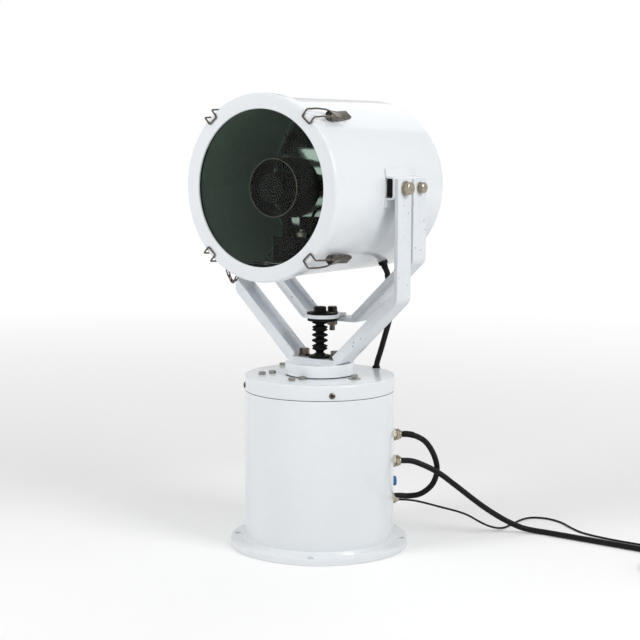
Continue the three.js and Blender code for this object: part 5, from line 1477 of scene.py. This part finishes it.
def addChain():
    size = chainShape
    first, last = (onCircle(size["reach"], size[end], size["forward"]) for end in ("first", "last"))
    knots = []
    for step in range(size["links"] + 1):
        share = step / size["links"]
        drop = (1 - abs(2 * share - 1) ** size["fullness"]) * (last - first).length * size["hang"]
        knots.append(first.lerp(last, share) + Vector((0, -drop, 0)))
    pairs = enumerate(zip(knots, knots[1:]))
    links = [chainLink(start, end, number % 2 == 0) for number, (start, end) in pairs]
    tabs = [block(*size["tab"], turnedPlace(lampPlace, size[end])) for end in ("first", "last")]
    finished(links + tabs, "safetyChain", "dark_steel", "lamp_head", smooth=60, nodes=["safety_chain"])


addChain()
print("chain made")

# Lamp cable: ribbed, from the drum's gland down to the lid, in two lengths
lampCable = {
    "radius": 6.3,
    "rib": 1.7,
    "depth": 0.05,
    "sides": 5,
    "exitReach": (197.3, 208.3),
    "upper": [(92, 118.6, 572), (96.2, 121.5, 552), (97, 126, 524), (94.2, 129.6, 502)],
    "joint": (88.6, 132.8, 475),
    "foot": (49, 143, 371),
    "lower": [(79.6, 135.2, 450), (69.8, 137.8, 424), (60, 140.4, 399), (52.6, 142.2, 381),
              (49.5, 143, 370)],
}


def ribbedTube(name, route, radius):
    length = sum((Vector(after) - Vector(before)).length for before, after in zip(route, route[1:]))
    line = smoothRoute(route, round(2 * length / lampCable["rib"]))
    selectOnly()
    bpy.ops.curve.primitive_bezier_curve_add()
    piece = bpy.context.object
    piece.name = name
    piece.data.splines.clear()
    spline = piece.data.splines.new("POLY")
    spline.points.add(len(line) - 1)
    for number, (knot, point) in enumerate(zip(spline.points, line)):
        knot.co = (*(point * metre), 1)
        knot.radius = 1 - lampCable["depth"] * (number % 2)
    piece.data.bevel_depth = radius * metre
    piece.data.bevel_resolution = lampCable["sides"]
    piece.data.use_fill_caps = True
    bpy.ops.object.convert(target="MESH")
    piece = bpy.context.object
    bpy.ops.object.mode_set(mode="EDIT")
    closeUp()
    bpy.ops.object.shade_smooth_by_angle(angle=math.radians(60))
    piece.data.name = name
    piece.data.materials.clear()
    piece.data.materials.append(finishes["cable_jacket"])
    return piece


def addLampCable():
    size = lampCable
    spots = [onCircle(reach, drumShape["glandAngle"]) for reach in size["exitReach"]]
    exits = [(spot.x, drumShape["glandBehind"], axisHeight + spot.y) for spot in spots]
    upper = ribbedTube("lampCableUpper", exits + size["upper"] + [size["joint"]], size["radius"])
    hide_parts("lamp_cable_upper")
    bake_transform(upper)
    lower = ribbedTube("lampCableLower", [size["joint"]] + size["lower"], size["radius"])
    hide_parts("lamp_cable_lower")
    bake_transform(lower)


addLampCable()
print("lamp cable made")
